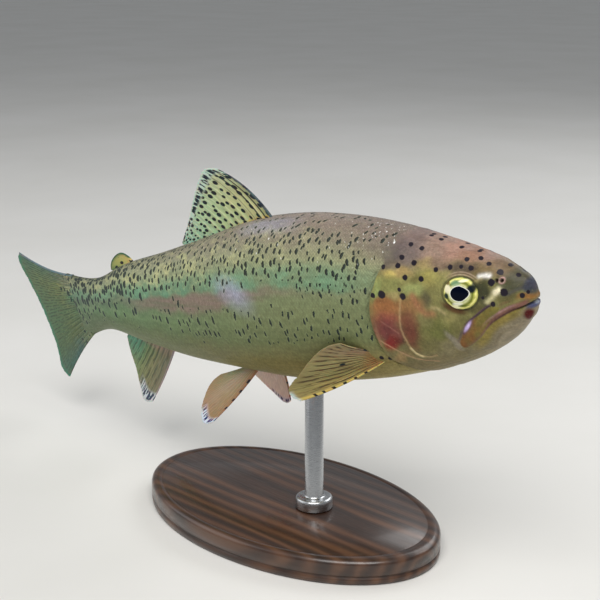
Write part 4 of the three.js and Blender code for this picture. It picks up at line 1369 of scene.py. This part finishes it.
def scale_marks(shader, colour, along, level):
    """The dark rim of each scale, its own tint, and a glint on a few of them near the nape.

    Both attributes are 0 on the skin, which has no scales.
    """
    edge, tint = shader.attribute("edge"), shader.attribute("tint")
    rim = shader.product(shader.band(edge, 0.5, 1.0), shader.band(level, -0.3, 0.6, 0.12, 0.42))
    colour = shader.mix(rim, colour, SCALE_EDGE)
    colour = shader.shade(colour, shader.band(tint, 0.0, 1.0, 0.94, 1.06))
    near_nape = shader.product(shader.band(along, 100, 66), shader.band(level, 0.45, 0.6), 0.07)
    glint = shader.product(shader.math("GREATER_THAN", shader.sum(tint, near_nape), 0.983),
                           shader.band(level, 0.3, 0.45), shader.band(edge, 0.75, 0.2),
                           shader.band(along, 190, 150))
    return shader.mix(glint, colour, GLINT)


def fish_material():
    """Skin and scales, with the same markings on both."""
    shader = Shader("trout_skin")
    along, level = shader.attribute("along"), shader.attribute("level")
    wrap = shader.attribute("wrap", "Vector")
    grain = shader.noise(wrap, 0.8, 4.0, 0.65)
    blotch = shader.noise(wrap, 0.2, 4.0, 0.6)
    ragged = shader.sum(shader.attribute("head"), shader.scaled(blotch, 0.5, -0.25))
    colour = shader.mix(shader.band(ragged, 0.2, 0.8), body_pattern(shader, along, level, wrap),
                        head_skin(shader, wrap, grain, blotch))
    for cell, half, allowed in ((SPOT_CELL, SPOT_HALF, "spotting"), (ROW_CELL, ROW_HALF, "spot_row")):
        spots, halo, dark_side = flank_spots(shader, along, wrap, cell, half, allowed)
        spot_colour = shader.mix(dark_side, SPOT_FILL, SPOT_DARK)
        spot_colour = shader.mix(shader.band(along, 180, 280, 0.0, 0.85), spot_colour, TAIL_SPOT)
        colour = shader.mix(shader.product(halo, shader.band(along, 60, 200, 0.08, 0.2)), colour, SPOT_HALO)
        colour = shader.mix(shader.product(spots, 0.97), colour, spot_colour)
    near = shader.sum(shader.attribute("spot_field"), shader.scaled(grain, 0.3, -0.15))
    colour = shader.mix(shader.band(near, 1.16, 0.82), colour, HEAD_SPOT)
    colour = scale_marks(shader, colour, along, level)
    pores = shader.noise(wrap, 2.4, 3.0, 0.6)
    return shader.finish(
        Base_Color=colour, Roughness=shader.band(blotch, 0.3, 0.7, 0.36, 0.5), Specular_IOR_Level=0.17,
        Coat_Weight=0.03, Coat_Roughness=0.15, Subsurface_Weight=0.05, Subsurface_Scale=0.003,
        Normal=shader.bump(pores, 0.3, 0.0002))


class FinShader(Shader):
    """A fin's web and rays. u runs from its first ray to its last, and v from its root to its margin.

    Each method lays one thing over the colour so far; they are called from the ground upwards.
    """

    def __init__(self, name, across, outward, outward_share):
        """across: colours from the leading edge to the trailing one; outward: what they turn to."""
        super().__init__(name)
        self.u, self.v = self.attribute("fin_u"), self.attribute("fin_v")
        self.ray = self.attribute("ray")
        self.where = self.attribute("fin_place", "Vector")
        self.cloud = self.noise(self.where, 0.1, 3.0)
        self.marks = self.uv_noise(34.0, 5.0, 2.0)
        self.fibre = self.uv_noise(110.0, 7.0, 3.0)
        self.colour = self.ramp(self.sum(self.u, self.scaled(self.cloud, 0.3, -0.15)), across)
        self.lay(self.product(self.band(self.v, 0.25, 1.0), outward_share), outward)

    def lay(self, share, colour):
        self.colour = self.mix(share, self.colour, colour)

    def uv_noise(self, across, outward, detail):
        where = self.combine(self.scaled(self.u, across), self.scaled(self.v, outward))
        return self.noise(where, 1.0, detail)

    def comb(self, value, count, drift):
        """A wave with count crests, which wander by drift."""
        phase = self.sum(self.scaled(value, count * 2 * math.pi), self.scaled(self.cloud, drift))
        return self.math("SINE", phase)

    def root(self, colour, width):
        self.lay(self.band(self.v, width, width * 0.4), colour)

    def paint_light_on_inner_face(self, colour, share):
        """Painted light on the face towards the body, which lies in shade."""
        self.lay(self.product(self.attribute("inner"), share), colour)

    def flank_pattern(self):
        """Carries the flank's colours on to the fin's base."""
        station = self.separate(self.where)[0]
        level = self.scaled(self.u, -1.9, 0.95)
        self.lay(self.band(self.v, 0.4, 0.08), body_pattern(self, station, level, self.where))

    def flank_marks(self):
        """Carries the flank's spots on to the fin's base."""
        station = self.separate(self.where)[0]
        spots = flank_spots(self, station, self.where, SPOT_CELL, SPOT_HALF, "spotting")[0]
        self.lay(self.product(spots, 0.85), TAIL_SPOT)

    def lines(self, ray_colour, ray_share, web_colour, web_share):
        """Fine lines: light along the rays and dark along the web between them."""
        self.lay(self.product(self.band(self.ray, 0.7, 0.98), ray_share), ray_colour)
        patchy = self.band(self.uv_noise(24.0, 3.5, 3.0), 0.4, 0.6)
        self.lay(self.product(self.band(self.ray, 0.5, 0.1), patchy, web_share), web_colour)
        self.colour = self.shade(self.colour, self.band(self.fibre, 0.3, 0.7, 0.86, 1.12))

    def streaks(self, count, colour, share, breaks):
        """Broader dark streaks along the fin, broken on their way out."""
        broken = self.band(self.uv_noise(36.0, breaks, 2.0), 0.4, 0.52)
        crest = self.band(self.comb(self.u, count, 5.0), 0.0, 0.75)
        self.lay(self.product(crest, broken, self.band(self.v, 1.0, 0.85),
                              self.band(self.v, 0.04, 0.12), share), colour)

    def spots(self, columns, rows, half, chance, reach):
        """Round dark spots. rows: their number in front and behind; reach: the first and last v."""
        x = self.scaled(self.u, float(columns))
        y = self.product(self.v, self.band(self.u, 0.0, 1.0, *rows))
        centre, random = self.cells(self.combine(x, y), 0.6)
        pick, size, _ = self.separate(random)
        cx, cy, _ = self.separate(centre)
        grow = self.band(size, 0.0, 1.0, 0.75, 1.2)
        dx = self.math("DIVIDE", self.difference(x, cx), self.scaled(grow, half[0]))
        dy = self.math("DIVIDE", self.difference(y, cy), self.scaled(grow, half[1]))
        first, last = reach
        shown = self.product(self.math("LESS_THAN", pick, chance), self.band(self.v, first - 0.04, first),
                             self.band(self.v, last, last - 0.05))
        self.lay(self.product(self.band(self.length(dx, dy), 1.15, 0.8), shown), FIN_SPOT)

    def stroke(self, u, half, share):
        """A dark dashed line along a ray."""
        off = self.math("ABSOLUTE", self.scaled(self.u, 1 / half, -u / half))
        dashed = self.product(self.band(off, 1.2, 0.6), self.band(self.marks, 0.3, 0.42), share)
        self.lay(dashed, FIN_SPOT)

    def margin(self, colour, width):
        self.lay(self.band(self.v, 1 - width, 1.0), colour)

    def leading_edge(self, colour, dark, width, count):
        """The thick first ray, with count dark marks on it."""
        dots = self.product(self.band(self.comb(self.v, count, 3.0), 0.4, 0.75),
                            self.band(self.v, 0.1, 0.14), self.band(self.v, 0.82, 0.78))
        self.lay(self.band(self.u, width, width * 0.55), self.mix(dots, colour, dark))

    def tip(self, pale, dark, from_v, to_u):
        """The pale tip with its dark dashes."""
        corner = self.product(self.band(self.v, from_v - 0.03, from_v + 0.05),
                              self.band(self.u, to_u, to_u * 0.6))
        uneven = self.sum(self.marks, self.scaled(self.comb(self.u, 22, 3.0), 0.07))
        dashes = self.product(self.band(uneven, 0.45, 0.53), self.band(self.v, 0.985, 0.95),
                              self.band(self.v, from_v - 0.02, from_v + 0.04))
        self.lay(corner, self.mix(dashes, pale, dark))

    def done(self):
        height = self.sum(self.scaled(self.ray, 0.3), self.scaled(self.fibre, 0.7))
        return self.finish(
            Base_Color=self.colour, Roughness=0.45, Specular_IOR_Level=0.17, Coat_Weight=0.02,
            Coat_Roughness=0.2, Subsurface_Weight=0.4, Subsurface_Scale=0.004,
            Normal=self.bump(height, 0.4, 0.0002))


def dorsal_material():
    """Pale green web with rows of dark spots, a yellow root and a dark leading edge."""
    across = ((0.0, tone(140, 148, 104)), (0.12, tone(184, 188, 134)), (0.5, tone(170, 196, 148)),
              (1.0, tone(146, 194, 172)))
    fin = FinShader("dorsal_fin_skin", across, tone(156, 194, 168), 0.5)
    fin.root(tone(226, 180, 84), 0.11)
    fin.lines(tone(220, 226, 180), 0.4, tone(92, 124, 104), 0.25)
    fin.spots(columns=13, rows=(10.0, 6.4), half=(0.23, 0.4), chance=1.0, reach=(0.05, 0.88))
    fin.stroke(0.05, 0.008, 0.9)
    fin.stroke(0.095, 0.009, 0.9)
    fin.stroke(0.15, 0.006, 0.5)
    fin.margin(tone(206, 222, 214), 0.03)
    fin.leading_edge(tone(66, 84, 88), tone(22, 36, 52), 0.016, 4)
    fin.tip(tone(176, 206, 190), tone(12, 34, 46), 0.84, 1.5)
    return fin.done()


def caudal_material():
    """Olive web with dark streaks, teal outwards; its base carries the flank's pattern."""
    across = ((0.0, tone(90, 114, 98)), (0.2, tone(118, 128, 82)), (0.5, tone(96, 116, 78)),
              (0.8, tone(96, 110, 70)), (1.0, tone(74, 106, 102)))
    fin = FinShader("tail_fin_skin", across, tone(58, 110, 84), 0.6)
    fin.flank_pattern()
    fin.lines(tone(124, 136, 98), 0.2, tone(40, 62, 54), 0.2)
    fin.streaks(38, tone(26, 50, 44), 0.6, 16.0)
    fin.flank_marks()
    fin.margin(tone(44, 124, 98), 0.1)
    fin.leading_edge(tone(92, 118, 124), tone(92, 118, 124), 0.02, 0)
    return fin.done()


def anal_material():
    """Olive web, teal behind, with dark streaks and a white tip."""
    across = ((0.0, tone(124, 122, 102)), (0.28, tone(126, 132, 92)), (0.5, tone(112, 140, 92)),
              (0.75, tone(84, 148, 118)), (1.0, tone(76, 160, 130)))
    fin = FinShader("anal_fin_skin", across, tone(122, 134, 94), 0.35)
    fin.root(tone(150, 136, 116), 0.25)
    fin.lines(tone(156, 150, 122), 0.25, tone(62, 76, 62), 0.3)
    fin.streaks(10, tone(44, 60, 48), 0.6, 5.0)
    fin.spots(columns=8, rows=(9.0, 6.0), half=(0.22, 0.3), chance=0.14, reach=(0.06, 0.5))
    fin.leading_edge(tone(150, 146, 146), tone(150, 146, 146), 0.02, 0)
    fin.tip(tone(196, 212, 216), tone(34, 62, 84), 0.8, 0.42)
    return fin.done()


def adipose_material():
    """Yellow flesh with a few spots and a green edge."""
    across = ((0.0, tone(196, 176, 112)), (0.4, tone(178, 178, 104)), (0.8, tone(136, 156, 88)),
              (1.0, tone(50, 92, 62)))
    fin = FinShader("adipose_fin_skin", across, tone(150, 160, 96), 0.5)
    fin.lines(tone(178, 176, 104), 0.0, tone(178, 176, 104), 0.0)
    fin.spots(columns=3, rows=(2.6, 2.6), half=(0.3, 0.36), chance=0.8, reach=(0.2, 0.8))
    fin.margin(tone(30, 84, 60), 0.25)
    return fin.done()


def pectoral_material():
    """Olive-yellow web with dark streaks and a row of dark marks on its leading edge."""
    across = ((0.0, tone(150, 136, 76)), (0.25, tone(128, 120, 72)), (0.55, tone(136, 126, 84)),
              (0.8, tone(152, 126, 100)), (1.0, tone(140, 126, 96)))
    fin = FinShader("pectoral_fin_skin", across, tone(126, 128, 86), 0.5)
    fin.root(tone(146, 112, 66), 0.3)
    fin.lines(tone(178, 158, 108), 0.3, tone(66, 46, 32), 0.3)
    fin.streaks(12, tone(56, 42, 28), 0.85, 4.0)
    fin.spots(columns=9, rows=(10.0, 8.0), half=(0.24, 0.34), chance=0.08, reach=(0.2, 0.6))
    fin.leading_edge(tone(190, 172, 96), tone(22, 22, 24), 0.04, 9)
    fin.tip(tone(206, 222, 224), tone(110, 140, 150), 0.955, 0.14)
    return fin.done()


def pelvic_material():
    """Tan and rose web with a white tip, with painted light on the face towards the body."""
    across = ((0.0, tone(150, 116, 84)), (0.16, tone(148, 134, 98)), (0.45, tone(164, 148, 124)),
              (0.75, tone(148, 150, 112)), (1.0, tone(144, 156, 118)))
    fin = FinShader("pelvic_fin_skin", across, tone(138, 112, 78), 0.6)
    # painted light that brightens the shaded face towards the body
    fin.paint_light_on_inner_face(tone(226, 216, 202), 0.9)
    fin.lines(tone(186, 162, 146), 0.35, tone(140, 116, 100), 0.3)
    fin.spots(columns=6, rows=(7.0, 7.0), half=(0.24, 0.3), chance=0.06, reach=(0.1, 0.4))
    fin.leading_edge(tone(150, 118, 88), tone(36, 34, 46), 0.035, 6)
    fin.tip(tone(210, 216, 226), tone(38, 50, 100), 0.87, 0.45)
    return fin.done()


IRIS = (  # colours of the eye from its centre to its rim
    (0.0, tone(190, 200, 150)), (0.58, tone(204, 206, 150)), (0.66, tone(136, 140, 70)),
    (0.73, tone(104, 112, 48)), (0.79, tone(176, 178, 84)), (0.86, tone(240, 234, 150)),
    (0.92, tone(206, 204, 110)), (0.96, tone(74, 96, 74)), (1.0, tone(34, 44, 34)),
)
# Smudges and glints of the iris: centre and half sizes as shares of the eye, colour, strength.
IRIS_PATCHES = (
    ((-0.62, 0.36), (0.22, 0.26), tone(244, 236, 206), 0.85),
    ((-0.12, 0.66), (0.3, 0.18), tone(104, 150, 124), 0.6),
    ((0.3, 0.74), (0.26, 0.08), tone(250, 246, 210), 0.85),
    ((-0.2, -0.58), (0.3, 0.12), tone(244, 244, 226), 0.7),
    ((-0.4, -0.76), (0.36, 0.13), tone(252, 248, 200), 0.9),
    ((0.1, -0.72), (0.3, 0.07), tone(92, 104, 44), 0.7),
    ((-0.77, -0.06), (0.16, 0.18), tone(16, 40, 42), 0.95),
    ((0.68, 0.22), (0.24, 0.24), tone(8, 20, 36), 0.97),
    ((0.86, 0.46), (0.16, 0.24), tone(30, 38, 34), 0.9),
    ((-0.6, 0.7), (0.14, 0.12), tone(84, 60, 38), 0.85),
)
PUPIL = tone(1, 6, 24)
PUPIL_RIM = tone(246, 246, 240)
PUPIL_CENTRE = (0.04, 0.03)  # as shares of the eye, like the half sizes
PUPIL_HALF = (0.49, 0.435)


def eye_material():
    """Dark pupil in a silver rim, a gold iris with a bright outer ring and a few dark smudges."""
    shader = Shader("trout_eye")
    disc = shader.attribute("disc", "Vector")
    x, y, _ = shader.separate(disc)

    def apart(centre, half):
        return [shader.scaled(value, 1 / h, -c / h) for value, c, h in zip((x, y), centre, half)]

    noise = shader.noise(disc, 4.0, 4.0)
    colour = shader.ramp(shader.sum(shader.length(x, y), shader.scaled(noise, 0.1, -0.05)), IRIS)
    colour = shader.shade(colour, shader.band(noise, 0.3, 0.7, 0.84, 1.12))
    for centre, half, paint, strength in IRIS_PATCHES:
        far = shader.length(*apart(centre, half))
        colour = shader.mix(shader.product(shader.band(far, 1.3, 0.6), strength), colour, paint)
    # The pupil is drawn out to a blunt point towards the front.
    px, py = apart(PUPIL_CENTRE, PUPIL_HALF)
    point = shader.product(shader.band(px, 0.0, 1.0), shader.product(py, py), 0.35)
    pupil = shader.sum(shader.length(px, py), point)
    rim = shader.product(shader.band(pupil, 1.15, 1.07), shader.band(noise, 0.3, 0.5, 0.75, 1.0))
    colour = shader.mix(rim, colour, PUPIL_RIM)
    colour = shader.mix(shader.band(pupil, 1.06, 1.0), colour, PUPIL)
    return shader.finish(
        Base_Color=colour, Roughness=0.2, Specular_IOR_Level=0.05, Coat_Weight=0.02, Coat_Roughness=0.03)


def wood_material():
    """Dark walnut with its grain along the plinth."""
    shader = Shader("walnut")
    where = shader.node("ShaderNodeTexCoord", {}).outputs["Object"]
    long_grain = shader.stretched(where, (14.0, 120.0, 120.0))
    waves = shader.noise(long_grain, 1.0, 5.0, 0.6)
    inputs = {"Vector": shader.stretched(where, (3.0, 22.0, 22.0)), "Scale": 2.2, "Distortion": 5.0,
              "Detail": 3.0, "Detail Scale": 1.2}
    rings = shader.node("ShaderNodeTexWave", inputs, wave_type="RINGS").outputs["Fac"]
    grain = shader.sum(shader.product(waves, 0.6), shader.product(rings, 0.4))
    colour = shader.ramp(grain, ((0.2, tone(38, 24, 17)), (0.5, tone(66, 42, 28)), (0.8, tone(92, 62, 42))))
    fine = shader.noise(shader.stretched(where, (60.0, 900.0, 900.0)), 1.0, 3.0)
    return shader.finish(
        Base_Color=colour, Roughness=shader.band(fine, 0.3, 0.7, 0.3, 0.42), Coat_Weight=0.35,
        Coat_Roughness=0.15, Normal=shader.bump(fine, 0.2, 0.0002))


def steel_material():
    """Brushed steel, its fine lines round the rod."""
    shader = Shader("brushed_steel")
    where = shader.node("ShaderNodeTexCoord", {}).outputs["Object"]
    lines = shader.noise(shader.stretched(where, (300.0, 300.0, 5200.0)), 1.0, 2.0)
    colour = shader.ramp(lines, ((0.3, tone(182, 184, 186)), (0.7, tone(194, 196, 198))))
    return shader.finish(
        Base_Color=colour, Metallic=1.0, Roughness=shader.band(lines, 0.3, 0.7, 0.26, 0.32),
        Normal=shader.bump(lines, 0.04, 0.00005))


def floor_material():
    """A pale, very slightly clouded floor."""
    shader = Shader("pale_floor")
    where = shader.node("ShaderNodeTexCoord", {}).outputs["Object"]
    cloud = shader.noise(where, 6.0, 4.0)
    colour = shader.ramp(cloud, ((0.3, tone(222, 221, 217)), (0.7, tone(228, 227, 224))))
    return shader.finish(Base_Color=colour, Roughness=0.6)


# ---------------------------------------------------------------- eyes and stand

EYE_RINGS = 40
EYE_COLUMNS = 72


def build_eye(side, word, material):
    """The outer half of an eye, from its pole to just past its rim."""
    centre, forward, outward, upward = eye_axes(side)
    q = np.linspace(0.01, 1, EYE_RINGS)[:, None] + np.zeros(EYE_COLUMNS)
    angle = np.arange(EYE_COLUMNS)[None, :] / EYE_COLUMNS * 2 * math.pi + np.zeros((EYE_RINGS, 1))
    x, z = q * np.cos(angle), q * np.sin(angle)
    out = np.sqrt(np.maximum(1 - q * q, 0))
    points = (centre + (x * EYE_HALF[0])[..., None] * forward + (out * EYE_HALF[2])[..., None] * outward
              + (z * EYE_HALF[1])[..., None] * upward)
    pole = (centre + EYE_HALF[2] * outward)[None]
    everything = np.concatenate([points.reshape(-1, 3), pole])
    faces = [grid_faces(EYE_RINGS, EYE_COLUMNS, wrapped=True, flipped=side < 0),
             cap_faces(EYE_RINGS * EYE_COLUMNS, np.arange(EYE_COLUMNS), flipped=side > 0)]
    disc = np.concatenate([np.stack([x, z, 0 * x], -1).reshape(-1, 3), np.zeros((1, 3))])
    piece = new_piece(f"eye_{word}_glossy", place(everything), faces, material, {"disc": disc})
    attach(piece, "root")
    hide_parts(f"eye_{word}")


def lathe(name, profile, sides, half_sizes, centre, material):
    """A turned piece from (radius, height) points; half_sizes stretch its radius to an oval."""
    angle = np.arange(sides) / sides * 2 * math.pi
    radius, height = np.array(profile, float).T
    x = centre[0] + half_sizes[0] * radius[:, None] * np.cos(angle)
    y = centre[1] + half_sizes[1] * radius[:, None] * np.sin(angle)
    z = height[:, None] + 0 * angle
    points = np.stack([x, y, z], -1).reshape(-1, 3)
    ends = np.array([[*centre, height[0]], [*centre, height[-1]]])
    rows, around = len(profile), np.arange(sides)
    faces = [grid_faces(rows, sides, wrapped=True), cap_faces(rows * sides, around, flipped=True),
             cap_faces(rows * sides + 1, (rows - 1) * sides + around)]
    return new_piece(name, np.concatenate([points, ends]) * MM, faces, material)


def rounded(radius, height, turn, steps=6):
    """Corner points of a profile that turns from upright to level at (radius, height)."""
    angles = np.linspace(0, math.pi / 2, steps)
    return [(radius - turn + turn * math.cos(a), height - turn + turn * math.sin(a)) for a in angles]


def build_plinth(material):
    """The oval plinth with its rounded edge, a moulding round its side and a groove in its top."""
    across = BASE_WIDTH / 2
    edge = [(r / across, h) for r, h in rounded(across, BASE_HEIGHT, 2.6)]
    foot = [(1 - 1.2 / across, 0), (1 - 0.3 / across, 0.4), (1, 1.4)]
    moulding = [(1, 3.2), (1 - 0.5 / across, 3.6), (1 - 0.5 / across, 4.2), (1, 4.6)]
    sunk = BASE_HEIGHT - 0.35
    groove = [(0.93, BASE_HEIGHT), (0.925, sunk), (0.915, sunk), (0.91, BASE_HEIGHT)]
    profile = [(0.5, 0), *foot, *moulding, *edge, *groove, (0.4, BASE_HEIGHT)]
    piece = lathe("plinth", profile, 160, (BASE_LENGTH / 2, across), (0, 0), material)
    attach(piece, "root")
    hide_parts("stand_base")


def build_rod(material):
    """Rod and collar; the rod's top is hidden in the belly."""
    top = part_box("stand_rod")[1].z / MM
    foot = BASE_HEIGHT + COLLAR_HEIGHT
    collar = [(COLLAR_RADIUS - 0.3, BASE_HEIGHT + 0.3), (COLLAR_RADIUS, BASE_HEIGHT + 0.8)]
    shoulder = rounded(COLLAR_RADIUS, foot, 1.4)
    fillet = [(ROD_RADIUS + 0.9, foot), (ROD_RADIUS + 0.3, foot + 0.3), (ROD_RADIUS, foot + 1.0)]
    profile = [*collar, *shoulder, *fillet, (ROD_RADIUS, top - 0.4), (ROD_RADIUS - 0.3, top)]
    piece = lathe("rod", profile, 64, (1, 1), (ROD_FORWARD, 0), material)
    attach(piece, "root")
    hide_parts("stand_rod")


# ---------------------------------------------------------------- scene

CAMERA_AIM = (4.3, 2.95, 112.8)  # millimetres in the row's frame
CAMERA_AZIMUTH = math.radians(45.52)
CAMERA_ELEVATION = math.radians(15.05)
CAMERA_DISTANCE = 639.3
CAMERA_LENS = 81
SENSOR = 36
SKY = (0.9, 0.93, 0.96, 1)
SKY_STRENGTH = 0.31
LIGHTS = (  # name, place, size, power, colour
    ("key", (0.55, -0.6, 1.25), (1.1, 0.8), 18.5, (1.0, 0.98, 0.95)),
    ("fill", (-0.9, -0.7, 0.7), (1.2, 0.9), 4, (1, 1, 1)),
    ("rim", (0.1, 1.1, 0.9), (1.2, 0.6), 6, (1, 1, 1)),
)
LIT_POINT = (0, 0, 0.1)
FLOOR_HALF = 14.0


def look_at(piece, place_at, aim):
    """Puts a camera or light at a place, turned to look at a point."""
    piece.location = place_at
    piece.rotation_euler = (Vector(aim) - Vector(place_at)).to_track_quat("-Z", "Y").to_euler()
    bpy.context.scene.collection.objects.link(piece)


def add_camera():
    """The photo's viewpoint and lens."""
    data = bpy.data.cameras.new("camera")
    data.lens = CAMERA_LENS
    data.sensor_width = SENSOR
    data.clip_start = 0.01
    camera = bpy.data.objects.new("camera", data)
    back = Vector((math.sin(CAMERA_AZIMUTH) * math.cos(CAMERA_ELEVATION),
                   -math.cos(CAMERA_AZIMUTH) * math.cos(CAMERA_ELEVATION), math.sin(CAMERA_ELEVATION)))
    aim = Vector(CAMERA_AIM) * MM
    look_at(camera, aim + back * CAMERA_DISTANCE * MM, aim)
    bpy.context.scene.camera = camera


def add_light(name, place_at, size, power, colour):
    """A rectangular area light that looks at the fish."""
    data = bpy.data.lights.new(name, "AREA")
    data.shape = "RECTANGLE"
    data.size, data.size_y = size
    data.energy = power
    data.color = colour
    look_at(bpy.data.objects.new(name, data), place_at, LIT_POINT)


def add_studio():
    """Soft sky, three area lights and a wide pale floor."""
    world = bpy.data.worlds.new("studio")
    world.use_nodes = True
    background = world.node_tree.nodes["Background"]
    background.inputs["Color"].default_value = SKY
    background.inputs["Strength"].default_value = SKY_STRENGTH
    bpy.context.scene.world = world
    bpy.context.scene.view_settings.view_transform = "Standard"
    for light in LIGHTS:
        add_light(*light)
    half = FLOOR_HALF
    corners = np.array([[-half, -half, 0], [half, -half, 0], [half, half, 0], [-half, half, 0]])
    floor = new_piece("floor", corners, [np.array([[0, 1, 2, 3]])], floor_material())


def build_fins():
    """The four middle fins and the two pairs."""
    fin_piece("dorsal_rays", "dorsal_fin", DORSAL, median_fin(DORSAL, 1), dorsal_material())
    fin_piece("adipose_flesh", "adipose_fin", ADIPOSE, median_fin(ADIPOSE, 1), adipose_material())
    fin_piece("anal_rays", "anal_fin", ANAL, median_fin(ANAL, -1), anal_material())
    fin_piece("caudal_rays", "caudal_fin", CAUDAL, caudal_fin(), caudal_material())
    pectoral, pelvic = pectoral_material(), pelvic_material()
    for word, side, pelvic_fin in (("right", -1, PELVIC_RIGHT), ("left", 1, PELVIC_LEFT)):
        fin_piece(f"pectoral_rays_{word}", f"pectoral_fin_{word}", PECTORAL, paired_fin(PECTORAL, side),
                  pectoral)
        fin_piece(f"pelvic_rays_{word}", f"pelvic_fin_{word}", pelvic_fin, paired_fin(pelvic_fin, side),
                  pelvic)


def build_body():
    """The skin and its four pieces of scales."""
    material = fish_material()
    skin = build_skin(material)
    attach(skin, "root")
    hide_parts("head", "lower_jaw", "maxilla_right", "maxilla_left", "gill_cover_right",
                "gill_cover_left", "trunk_front", "trunk_rear", "tail_stalk")
    rng = np.random.default_rng(SEED)
    for word, side in (("right", -1), ("left", 1)):
        for part, reach in (("front", (50, COAT_SPLIT)), ("rear", (COAT_SPLIT, TAIL_END))):
            scales = build_scales(f"scales_{part}_{word}", side, reach, material, rng)
            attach(scales, "root")


add_camera()
add_studio()
build_body()
build_fins()
eye_paint = eye_material()
build_eye(-1, "right", eye_paint)
build_eye(1, "left", eye_paint)
build_plinth(wood_material())
build_rod(steel_material())
